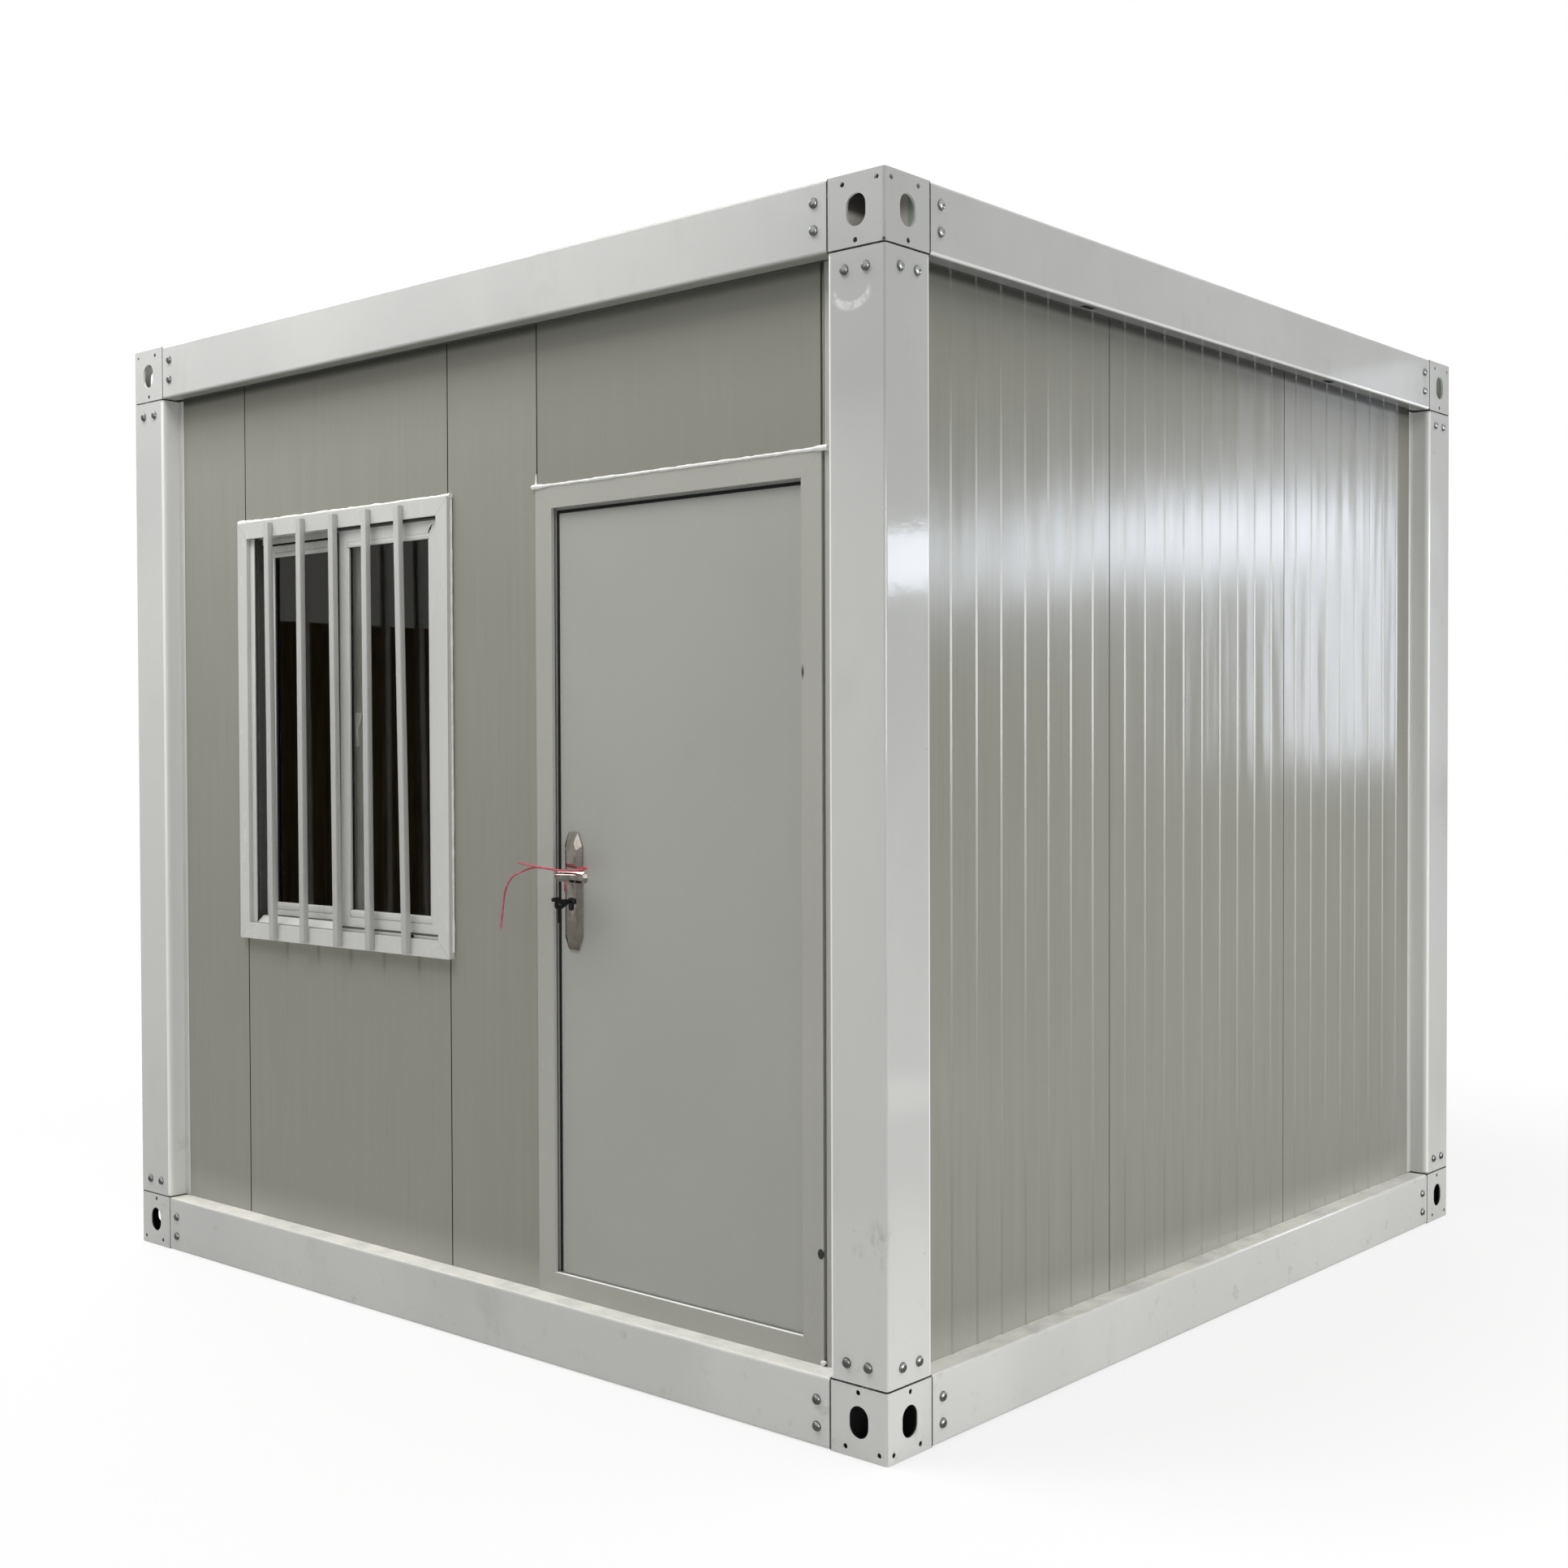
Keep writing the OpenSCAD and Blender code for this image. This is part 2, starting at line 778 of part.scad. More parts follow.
module wall_left() {
    on_side(LEFT, half_w)
        ribbed_wall(-side_shift, half_d - fold_r - frame_sheet, half_d);
}

module wall_back() {
    on_side(BACK, half_d)
        ribbed_wall(0, inner_half_w, half_w);
}

module front_panel(x0, x1, z0, z1) {
    color("darkgray")
        on_side(0, half_d)
            panel(x0, x1, z0, z1);
}

module wall_front_left() front_panel(-inner_half_w, bay_left, frame_face, top_beam_z);
module wall_under_window()
    front_panel(bay_left + core_gap, bay_right - core_gap, frame_face, window_bottom);
module wall_over_window()
    front_panel(bay_left + core_gap, bay_right - core_gap, window_top, top_beam_z);
module wall_front_middle()
    front_panel(bay_right, door_bay_left - core_gap, frame_face, top_beam_z);
module wall_over_door()
    front_panel(door_bay_left, door_bay_right, door_top, top_beam_z);
module wall_front_right()
    front_panel(corner_panel_left, inner_half_w, frame_face, top_beam_z);

// Window

module window_frame() {
    color("white")
        on_side(0, half_d)
            difference() {
                union() {
                    slab(window_x, window_y, window_z - window_h / 2, window_w, window_proud, window_h);
                    slab(window_x, window_y, window_bottom, body_w, window_depth, body_h);
                }
                slab(window_x, window_y - over, window_z - light_h / 2,
                    light_w, window_depth + 2 * over, light_h);
                for (y = [outer_track, inner_track])
                    slab(window_x, y, sash_bottom, track_w, track_room, track_h);
            }
}

// A sash from its left edge, its rebate open to the room
module sash(x, w, track) {
    mid = x + w / 2;
    y = track + sash_gap;
    glass_w = w - 2 * sash_face;
    rebate_w = glass_w + 2 * pane_bite;
    rebate_h = glass_h + 2 * pane_bite;
    glass_z = sash_bottom + sash_face;
    on_side(0, half_d)
        difference() {
            slab(mid, y, sash_bottom, w, sash_t, sash_h);
            slab(mid, y - over, glass_z, glass_w, sash_t + 2 * over, glass_h);
            slab(mid, y + pane_y, glass_z - pane_bite, rebate_w, sash_t, rebate_h);
        }
}

module pane(x, w, track) {
    pane_w = w - 2 * (sash_face - pane_bite);
    slab(x + w / 2, track + sash_gap + pane_y, sash_bottom + sash_face - pane_bite,
        pane_w, pane_t, glass_h + 2 * pane_bite);
}

module window_sash_left() {
    color("white")
        sash(sash_left_x, sash_w, inner_track);
}

module window_sash_right() {
    color("white")
        sash(sash_right_x, right_sash_w, outer_track);
}

module window_panes() {
    color([0.2, 0.22, 0.22, 0.6])
        on_side(0, half_d) {
            pane(sash_left_x, sash_w, inner_track);
            pane(sash_right_x, right_sash_w, outer_track);
        }
}

// Thumb latch on the outer face of the left sash's meeting stile, its lever towards the right
module window_latch() {
    stile_x = sash_left_x + sash_w - sash_face / 2;
    color("whitesmoke")
        on_side(0, half_d)
            translate([stile_x, inner_track + sash_gap - latch_t, window_z])
                upright(latch_t)
                    offset(r = latch_w / 4, $fn = round_fn)
                        offset(delta = -latch_w / 4)
                            polygon([
                                [-latch_w / 2, -latch_h / 2], [latch_w / 2, -latch_h / 2],
                                [latch_w / 2, 0], [latch_w * 2, latch_h / 2],
                                [latch_w, latch_h / 2], [latch_w / 2, latch_h / 4],
                                [latch_w / 2, latch_h / 2], [-latch_w / 2, latch_h / 2]
                            ]);
}

// Door frame: one ring, cut into mitred jambs, head and sill

module door_frame_ring() {
    pocket_bottom = opening_bottom - stop_w;
    pocket_top = opening_top + stop_w;
    pocket_y = frame_y + stop_t;
    difference() {
        union() {
            slab(door_x, frame_y, frame_face, door_w, door_proud, door_h);
            slab(door_x, frame_y, frame_face, door_body_w, frame_depth, door_h);
        }
        slab(door_x, frame_y - over, opening_bottom,
            opening_w, frame_depth + 2 * over, opening_top - opening_bottom);
        slab(door_x, pocket_y, pocket_bottom,
            pocket_w, frame_depth + over, pocket_top - pocket_bottom);
    }
}

// The stretch of the ring between two outer and two inner corners
module mitred(outer_a, outer_b, inner_b, inner_a) {
    color("silver")
        on_side(0, half_d)
            intersection() {
                door_frame_ring();
                translate([0, frame_y - over, 0])
                    upright(frame_depth + 2 * over)
                        polygon([outer_a, outer_b, inner_b, inner_a]);
            }
}

module door_jamb_left()
    mitred([outer_l, frame_face], [outer_l, door_top], [inner_l, opening_top], [inner_l, opening_bottom]);
module door_jamb_right()
    mitred([outer_r, frame_face], [outer_r, door_top], [inner_r, opening_top], [inner_r, opening_bottom]);
module door_head()
    mitred([outer_l, door_top], [outer_r, door_top], [inner_r, opening_top], [inner_l, opening_top]);
module door_sill()
    mitred([outer_l, frame_face], [outer_r, frame_face], [inner_r, opening_bottom], [inner_l, opening_bottom]);

// Door leaf and what it carries

// Outline of the lock cylinder, grown by a clearance
module lock_outline(grow) {
    union() {
        circle(r = lock_r + grow, $fn = round_fn);
        hull() {
            circle(r = foot_r + grow, $fn = round_fn);
            translate([0, -foot_drop])
                circle(r = foot_r + grow, $fn = round_fn);
        }
    }
}

module lock_bar(y, l, grow) {
    translate([handle_x, y, lock_z])
        upright(l)
            lock_outline(grow);
}

module door_leaf() {
    color("silver")
        on_side(0, half_d)
            difference() {
                slab(door_x, leaf_y, leaf_bottom, leaf_w, leaf_t, leaf_h);
                translate([handle_x, leaf_y - over, lever_z])
                    bore_y(spindle_r + spindle_gap, leaf_t + 2 * over);
                lock_bar(leaf_y - over, leaf_t + 2 * over, lock_fit);
            }
}

module knuckle(z, h) {
    translate([hinge_x, hinge_y, z])
        cylinder(h = h, r = knuckle_r, $fn = round_fn);
}

// Places one hinge after another up the leaf, from each hinge's foot
module each_hinge() {
    for (i = [0 : hinge_count - 1])
        translate([0, 0, leaf_bottom + hinge_in + i * hinge_step - hinge_h / 2])
            children();
}

// Fixed half: a plate on the jamb, two knuckles and the pin between them
module door_hinges() {
    color("gray")
        on_side(0, half_d)
            each_hinge() {
                knuckle(0, knuckle_h - hinge_gap);
                knuckle(2 * knuckle_h + hinge_gap, knuckle_h - hinge_gap);
                translate([hinge_x, hinge_y, 0])
                    cylinder(h = hinge_h, r = pin_r, $fn = round_fn);
                for (z = [0, 2 * knuckle_h + hinge_gap])
                    translate([hinge_x, wall_in, z])
                        cube([knuckle_r + hinge_gap + hinge_t, knuckle_r + hinge_t, knuckle_h - hinge_gap]);
                translate([hinge_x + knuckle_r + hinge_gap, wall_in, 0])
                    cube([hinge_plate, hinge_t, hinge_h]);
            }
}

// Turning half: a plate on the leaf and the middle knuckle
module hinge_leaves() {
    color("gray")
        on_side(0, half_d)
            each_hinge()
                difference() {
                    union() {
                        knuckle(knuckle_h + hinge_gap, knuckle_h - 2 * hinge_gap);
                        translate([hinge_x - knuckle_r - hinge_plate, leaf_back, 0])
                            cube([hinge_plate, hinge_t, hinge_h]);
                        translate([hinge_x - knuckle_r - hinge_plate, leaf_back,
                                knuckle_h + hinge_gap])
                            cube([hinge_plate + knuckle_r, hinge_y - leaf_back,
                                knuckle_h - 2 * hinge_gap]);
                    }
                    translate([hinge_x, hinge_y, -over])
                        cylinder(h = hinge_h + 2 * over, r = pin_r + hinge_gap, $fn = round_fn);
                }
}

// Plan of a handle plate: tapered to both ends
module plate_outline(w, end, h, taper) {
    polygon([
        [-w / 2, taper - h / 2], [-end / 2, -h / 2], [end / 2, -h / 2], [w / 2, taper - h / 2],
        [w / 2, h / 2 - taper], [end / 2, h / 2], [-end / 2, h / 2], [-w / 2, h / 2 - taper]
    ]);
}

// A faceted plate from y = 0 towards -Y
module handle_plate() {
    mirror([0, 1, 0])
        hull() {
            upright(plate_edge)
                plate_outline(plate_w, plate_end, plate_h, plate_taper);
            upright(plate_t)
                plate_outline(plate_ridge, plate_ridge / 2, plate_ridge_h, plate_ridge / 2);
        }
}

module handle_plates() {
    color("rosybrown")
        on_side(0, half_d)
            difference() {
                union() {
                    translate([handle_x, leaf_y, plate_z])
                        handle_plate();
                    translate([handle_x, leaf_back, plate_z])
                        mirror([0, 1, 0])
                            handle_plate();
                }
                translate([handle_x, leaf_y - plate_t - over, lever_z])
                    bore_y(neck_r + spindle_gap, plate_t + over);
                translate([handle_x, leaf_back, lever_z])
                    bore_y(neck_r + spindle_gap, plate_t + over);
                lock_bar(leaf_y - plate_t - over, leaf_t + 2 * (plate_t + over), lock_fit);
            }
}

module lock_cylinder() {
    color("darkslategray")
        on_side(0, half_d)
            lock_bar(leaf_y - plate_t - lock_proud, leaf_t + 2 * (plate_t + lock_proud), 0);
}

// Outline of the key's head: x away from the lock, y upwards, the blade along y = 0
module key_head_outline() {
    tab_y = key_head_r - key_sag;
    difference() {
        union() {
            hull() {
                translate([blade_l + key_neck_r, 0])
                    circle(r = key_neck_r, $fn = round_fn);
                translate([key_reach, -key_sag])
                    circle(r = key_head_r, $fn = round_fn);
            }
            hull()
                for (x = [key_reach, key_reach + tab_l])
                    translate([x, tab_y])
                        circle(r = tab_r, $fn = round_fn);
        }
        translate([key_reach, key_hole_rise - key_sag])
            circle(r = key_hole_r, $fn = round_fn);
    }
}

// The key in the lock, its head upright, and a spare that hangs on it
module keys() {
    lock_face = leaf_y - plate_t - lock_proud;
    color("black")
        on_side(0, half_d)
            translate([handle_x, lock_face, lock_z]) {
                slab(0, -blade_l - over, -blade_w / 2, blade_t, blade_l + over, blade_w);
                translate([key_head_t / 2, 0, 0])
                    rotate([90, 0, -90])
                        linear_extrude(key_head_t)
                            key_head_outline();
                slab(0, -key_reach - blade_w / 2, -spare_l, spare_t, blade_w, spare_l - key_head_r);
            }
}

// Both levers on one spindle: a neck, an arm towards the hinges

module lever_arm() {
    translate([0, -lever_out - lever_t / 2, 0])
        hull()
            for (end = [[0, lever_h / 2], [lever_l - lever_tip / 2, lever_tip / 2]])
                translate([end[0], 0, 0]) {
                    bore_y(end[1] - lever_edge, lever_t);
                    translate([0, lever_edge, 0])
                        bore_y(end[1], lever_t - 2 * lever_edge);
                }
    translate([0, -lever_out, 0])
        bore_y(neck_r, lever_out - plate_edge);
}

module levers() {
    color("silver")
        on_side(0, half_d) {
            translate([handle_x, leaf_y, lever_z])
                lever_arm();
            translate([handle_x, leaf_back, lever_z])
                mirror([0, 1, 0])
                    lever_arm();
            translate([handle_x, leaf_y - plate_edge - over, lever_z])
                bore_y(spindle_r, leaf_t + 2 * (plate_edge + over));
        }
}

// Twine wound round the outer lever, with two loose ends

// Direction along a route at one of its points
function along(p, i) =
    let (d = p[min(i + 1, len(p) - 1)] - p[max(i - 1, 0)])
    d / norm(d);

// Direction across it, carried on from the point before without a twist
function across(p, i) =
    let (t = along(p, i), before = i == 0 ? [1, 0, 0] : across(p, i - 1))
    let (u = before - (before * t) * t)
    u / norm(u);

// A tube whose rings stand on the points of a route
module tube(route) {
    last = len(route) - 1;
    rings = [
        for (i = [0 : last])
            let (t = along(route, i), u = across(route, i), v = cross(t, u))
            for (k = [0 : twine_fn - 1])
                let (a = 360 * k / twine_fn)
                route[i] + twine_d / 2 * (cos(a) * u + sin(a) * v)
    ];
    sides = [
        for (i = [0 : last - 1], k = [0 : twine_fn - 1])
            let (a = i * twine_fn + k, b = i * twine_fn + (k + 1) % twine_fn)
            for (f = [[a, a + twine_fn, b], [b, a + twine_fn, b + twine_fn]]) f
    ];
    caps = [
        [for (k = [0 : twine_fn - 1]) k],
        [for (k = [twine_fn - 1 : -1 : 0]) last * twine_fn + k]
    ];
    polyhedron(points = rings, faces = concat(sides, caps));
}

module lever_twine() {
    color("indianred")
        on_side(0, half_d)
            translate([handle_x, leaf_y - lever_out, lever_z]) {
                tube(twine_long);
                tube(twine_short);
            }
}

fittings_top();
fittings_bottom();
post_front_left();
post_front_right();
post_back_left();
post_back_right();
top_beam_front();
top_beam_right();
top_beam_back();
top_beam_left();
bottom_beam_front();
bottom_beam_right();
bottom_beam_back();
bottom_beam_left();
floor_joists();
floor_board();
ceiling_panel();
roof_purlins();
roof_sheet();
wall_front_left();
wall_under_window();
wall_over_window();
wall_front_middle();
wall_over_door();
wall_front_right();
wall_right();
wall_back();
wall_left();
window_frame();
window_sash_left();
window_sash_right();
window_panes();
window_latch();
door_jamb_left();
door_jamb_right();
door_head();
door_sill();
door_hinges();
door_leaf();
hinge_leaves();
handle_plates();
lock_cylinder();
keys();
levers();
lever_twine();
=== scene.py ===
"""Looks of the container house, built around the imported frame. Lengths in metres."""

import json
import math
import random

import bmesh
import bpy
from mathutils import Euler, Matrix, Vector


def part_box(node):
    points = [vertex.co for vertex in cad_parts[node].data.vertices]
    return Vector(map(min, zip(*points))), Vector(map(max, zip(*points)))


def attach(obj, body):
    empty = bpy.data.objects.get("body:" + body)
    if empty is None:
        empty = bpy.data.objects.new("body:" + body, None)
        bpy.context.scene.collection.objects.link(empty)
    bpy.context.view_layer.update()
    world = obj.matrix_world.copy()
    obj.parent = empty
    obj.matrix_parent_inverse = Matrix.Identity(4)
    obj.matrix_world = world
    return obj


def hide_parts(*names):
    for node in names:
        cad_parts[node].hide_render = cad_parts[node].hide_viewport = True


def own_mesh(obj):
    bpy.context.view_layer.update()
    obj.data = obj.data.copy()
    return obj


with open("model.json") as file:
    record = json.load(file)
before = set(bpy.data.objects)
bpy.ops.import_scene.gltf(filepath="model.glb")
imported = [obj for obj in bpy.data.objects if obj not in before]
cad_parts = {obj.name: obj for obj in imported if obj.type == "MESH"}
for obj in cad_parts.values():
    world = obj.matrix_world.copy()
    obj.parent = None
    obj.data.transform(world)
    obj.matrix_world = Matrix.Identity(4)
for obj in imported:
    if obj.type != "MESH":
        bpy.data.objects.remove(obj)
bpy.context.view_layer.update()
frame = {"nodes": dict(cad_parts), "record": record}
nodes = frame["nodes"]
chance = random.Random(7)

# Places that several pieces share

HALF = 1.5                      # half the house's side
HEIGHT = 2.8
FITTING = 0.160                 # a corner fitting's side, also the bottom beams' height
EDGE = HALF - FITTING           # where fittings and posts end, from the middle
BEAM_FOOT = HEIGHT - FITTING    # the top beams' underside
FRONT_SKIN = -1.44
# The door's and the window's frame: middle and half size in X and Z, and how wide the face is
DOOR_MIDDLE, DOOR_HALF, DOOR_FACE = (0.795, 1.1915), (0.478, 1.0315), 0.060
WINDOW_MIDDLE, WINDOW_HALF, WINDOW_FACE = (-0.5122, 1.6105), (0.491, 0.6195), 0.047
LEVER = Vector((0.441, -1.485, 1.235))
BAR_X = (-0.822, -0.668, -0.514, -0.360, -0.206)
MM = 0.001


# Camera

CAMERA_PLACE = (4.0945, -4.7987, 1.5598)
CAMERA_DEGREES = (41.178, 1.105, -0.183)
LENS_MM, SENSOR_MM = 44.83, 36.0


def place_camera():
    turn, dip, roll = (math.radians(angle) for angle in CAMERA_DEGREES)
    back = Vector((math.sin(turn) * math.cos(dip), -math.cos(turn) * math.cos(dip), math.sin(dip)))
    level = Vector((math.cos(turn), math.sin(turn), 0.0))
    rise = back.cross(level)
    right = math.cos(roll) * level + math.sin(roll) * rise
    up = math.cos(roll) * rise - math.sin(roll) * level
    bpy.ops.object.camera_add()
    camera = bpy.context.object
    camera.name = "camera"
    camera.data.lens = LENS_MM
    camera.data.sensor_width = SENSOR_MM
    camera.data.clip_end = 200.0
    turned = Matrix((right, up, back)).transposed().to_4x4()
    camera.matrix_world = Matrix.Translation(CAMERA_PLACE) @ turned
    bpy.context.scene.camera = camera


place_camera()


# Finishes

class Wire:
    """A shader socket that can stand in a sum."""

    def __init__(self, finish, socket):
        self.finish, self.socket = finish, socket

    def sum(self, work, other, turned=False):
        pair = {0: other, 1: self} if turned else {0: self, 1: other}
        return self.finish.node("Math", {"operation": work}, pair)

    def __add__(self, other):
        return self.sum("ADD", other)

    def __sub__(self, other):
        return self.sum("SUBTRACT", other)

    def __rsub__(self, other):
        return self.sum("SUBTRACT", other, True)

    def __mul__(self, other):
        return self.sum("MULTIPLY", other)

    __radd__ = __add__
    __rmul__ = __mul__

    def most(self, other):
        return self.sum("MAXIMUM", other)

    def least(self, other):
        return self.sum("MINIMUM", other)

    def size(self):
        """The number without its sign."""
        return self.finish.node("Math", {"operation": "ABSOLUTE"}, {0: self})

    def step(self, low, high):
        """0 below low, 1 above high, smooth between; low above high turns it round."""
        return self.finish.node(
            "MapRange", {"interpolation_type": "SMOOTHSTEP"},
            {"Value": self, "From Min": low, "From Max": high})

    def band(self, low, high, soft):
        """1 from low to high, with soft edges."""
        return self.step(low - soft, low) * self.step(high + soft, high)

    def other(self, name):
        return Wire(self.finish, self.socket.node.outputs[name])


class Nodes:
    """A node tree, and the one way to add to it."""

    def __init__(self, tree):
        self.tree = tree
        tree.nodes.clear()

    def node(self, kind, settings=None, sockets=None, out=0):
        """Any node: its settings first, then the values or links of its sockets."""
        made = self.tree.nodes.new("ShaderNode" + kind)
        for key, value in (settings or {}).items():
            setattr(made, key, value)
        for key, value in (sockets or {}).items():
            self.plug(made.inputs[key], value)
        return Wire(self, made.outputs[out]) if made.outputs else made

    def plug(self, socket, value):
        if isinstance(value, Wire):
            self.tree.links.new(value.socket, socket)
        elif hasattr(value, "__len__") and socket.type == "RGBA":
            socket.default_value = (*value, 1.0)
        else:
            socket.default_value = value

    def seen(self):
        """1 for the rays that should meet white: from the camera, mirrors and glass."""
        path = self.node("LightPath", out="Is Camera Ray")
        return path.most(path.other("Is Glossy Ray")).most(path.other("Is Transmission Ray"))


class Finish(Nodes):
    """One material: a shader, the piece's own coordinates, and the nodes that feed it."""

    def __init__(self, name, **constants):
        self.material = bpy.data.materials.new(name)
        self.material.use_nodes = True
        super().__init__(self.material.node_tree)
        shine = self.node("BsdfPrincipled")
        self.shader = shine.socket.node
        self.node("OutputMaterial", None, {"Surface": shine})
        self.set(**constants)
        self.place = self.node("TexCoord", out="Object")
        self.x = self.node("SeparateXYZ", None, {0: self.place})
        self.y, self.z = self.x.other("Y"), self.x.other("Z")

    def set(self, **sockets):
        for key, value in sockets.items():
            self.plug(self.shader.inputs[key.replace("_", " ")], value)

    def stretched(self, scale):
        return self.node("Mapping", {"vector_type": "POINT"},
                         {"Vector": self.place, "Scale": scale})

    def noise(self, scale, detail=3.0, stretch=(1, 1, 1), rough=0.55):
        return self.node("TexNoise", {"noise_dimensions": "3D"},
                         {"Vector": self.stretched(stretch), "Scale": scale, "Detail": detail,
                          "Roughness": rough})

    def specks(self, scale):
        return self.node("TexVoronoi", {"feature": "F1"}, {"Vector": self.place, "Scale": scale})

    def mix(self, share, one, two):
        return self.node("Mix", {"data_type": "RGBA"}, {0: share, 6: one, 7: two}, out=2)

    def facing(self, axis):
        """How far the surface faces along X, Y or Z."""
        normal = self.node("NewGeometry", out="Normal")
        return self.node("SeparateXYZ", None, {0: normal}, out=axis)

    def faces(self, axis, way=0):
        """1 where the surface faces along an axis: its plus or minus way, or either with 0."""
        facing = self.facing(axis)
        return facing.step(way * 0.5, way * 0.9) if way else facing.size().step(0.5, 0.9)

    def near(self, point, reach, squash=(1, 1, 1)):
        """1 at a point, 0 at its reach, on an ellipsoid."""
        gap = self.node("VectorMath", {"operation": "SUBTRACT"}, {0: self.place, 1: point})
        gap = self.node("VectorMath", {"operation": "MULTIPLY"}, {0: gap, 1: squash})
        length = self.node("VectorMath", {"operation": "LENGTH"}, {0: gap}, out="Value")
        return length.step(reach, reach * 0.2)

    def mitre(self, middle, half, face):
        """Thin lines across the corners of an upright frame, as wide as its face."""
        side = half[0] - (self.x - middle[0]).size()
        end = half[1] - (self.z - middle[1]).size()
        return (side - end).size().step(0.0016, 0.0006) * side.step(face, face - 0.001)

    def bump(self, height, strength, distance=0.001):
        return self.node("Bump", None,
                         {"Height": height, "Strength": strength, "Distance": distance})


def frame_paint():
    """Gloss white paint on folded sheet: orange peel, hand smudges, dusty ledges, grey scuffs, and
    painted light and shade on folds, hollows and corners.
    """
    f = Finish("frame_paint", Specular_IOR_Level=0.36)
    across, along = f.x.size(), f.y.size()
    end = HEIGHT / 2 - (f.z - HEIGHT / 2).size()    # height over the foot, or depth under the top
    post = across.step(EDGE - 0.010, EDGE)
    cloud = f.noise(1.1, 4, (1, 1, 0.7)).step(0.35, 0.68)
    smear = f.noise(5.0, 6, (1, 1, 0.55), 0.65)
    colour = f.mix(cloud, (0.605, 0.608, 0.588), (0.545, 0.550, 0.533))
    colour = f.mix(smear.step(0.54, 0.78) * 0.55, colour, (0.46, 0.46, 0.435))
    # lighter at hand height on the posts' faces
    hand = f.z.band(0.8, 1.9, 0.5) * post * f.faces("Y")
    colour = f.mix(hand * 0.42, colour, (0.74, 0.74, 0.71))
    # painted light on the left post's inner return, in the corner by the left wall where shade
    # falls
    back = f.faces("X", 1) * f.x.step(0.040 - EDGE, 0.010 - EDGE)
    colour = f.mix(back * 0.8, colour, (0.80, 0.80, 0.78))
    # greyer at the top by the door; lighter at the foot there and low on the sides, painted light
    # from the floor
    grey = f.near((1.42, -HALF, 2.70), 0.55).step(0.0, 0.5) * f.faces("Y", -1) * post
    colour = f.mix(grey * 0.40, colour, (0.42, 0.42, 0.405))
    lit_foot = f.near((1.42, -HALF, 0.08), 0.65).step(0.0, 0.5)
    lit_low_sides = f.faces("X") * f.z.step(0.5, 0.2)
    for place in (lit_foot, lit_low_sides):
        colour = f.mix(place * 0.30, colour, (0.80, 0.80, 0.77))
    # thumbed and scraped places low on the posts and on the fittings
    dirt = f.noise(14.0, 7, rough=0.7).step(0.57, 0.72) * f.z.step(0.5, 0.05)
    colour = f.mix(dirt * 0.5, colour, (0.36, 0.34, 0.30))
    thumbed = (f.near((1.480, -HALF, 0.480), 0.045, (1, 1, 0.6))
               .most(f.near((1.426, -HALF, 0.459), 0.032, (1, 1, 1.4)))
               .most(f.near((HALF, -1.486, 0.497), 0.032, (1, 1, 1.2))))
    prints = f.noise(45.0, 5, (1, 1, 0.5), 0.7).step(0.42, 0.62)
    colour = f.mix(thumbed * prints * 0.36, colour, (0.27, 0.26, 0.24))
    # dust and cement splashes on the ledges, dull tops
    ledge = f.faces("Z", 1) * f.z.step(0.6, 0.3)
    dust = f.noise(9.0, 6, rough=0.7).step(0.25, 0.65)
    colour = f.mix(ledge * dust * 0.85, colour, (0.86, 0.84, 0.77))
    top = f.faces("Z", 1) * f.z.step(2.4, 2.6)
    colour = f.mix(top * (0.6 + dust * 0.3), colour, (0.34, 0.335, 0.315))
    crumbs = f.specks(70.0).step(0.22, 0.05) * f.noise(3.0, 3).step(0.55, 0.7)
    colour = f.mix(ledge * crumbs * 0.8, colour, (0.70, 0.66, 0.58))
    # a few grey scuffs
    scuff = f.noise(3.2, 8, (2.2, 2.2, 7.0), 0.75).step(0.665, 0.70)
    colour = f.mix(scuff * 0.35, colour, (0.34, 0.34, 0.33))
    # a wiped crescent and a drip near the top of the post by the door
    wiped = f.near((1.407, -HALF, 2.540), 0.062, (1, 1, 1.45)).step(0.0, 0.30)
    gap = f.near((1.407, -HALF, 2.556), 0.058, (1, 1, 1.45)).step(0.0, 0.30)
    patchy = f.noise(60.0, 5, rough=0.7).step(0.36, 0.60)
    colour = f.mix(wiped * (1.0 - gap) * (0.15 + patchy * 0.6), colour, (0.84, 0.84, 0.82))
    drip = f.near((1.497, -HALF, 2.645), 0.007)
    colour = f.mix(drip, colour, (0.02, 0.02, 0.02))
    # painted highlights along the posts' inner folds
    fold = (across.band(EDGE - 0.0005, EDGE + 0.0075, 0.0015) * along.step(1.48, 1.495)
            + along.band(EDGE - 0.0005, EDGE + 0.0075, 0.0015) * across.step(1.48, 1.495))
    fold = fold * f.z.band(FITTING + 0.010, BEAM_FOOT - 0.010, 0.004)
    colour = f.mix(fold * 0.95, colour, (0.90, 0.90, 0.88))
    # painted shade on the top beams' underside, darkest behind, and a painted highlight along the
    # side beams' lower fold
    soffit = f.faces("Z", -1) * f.z.band(BEAM_FOOT - 0.010, BEAM_FOOT + 0.010, 0.003)
    lip = across.most(along).step(1.455, 1.460)
    shaded = f.mix(across.step(1.40, 1.43), (0.30, 0.30, 0.275), (0.20, 0.203, 0.195))
    colour = f.mix(soffit * 0.95, colour, f.mix(lip, (0.05, 0.05, 0.046), shaded))
    foot = (f.facing("X").size().step(0.3, 0.8) * f.z.band(BEAM_FOOT, BEAM_FOOT + 0.0065, 0.0015)
            * along.step(EDGE - 0.002, EDGE - 0.006))
    colour = f.mix(foot * 0.9, colour, (0.96, 0.96, 0.94))
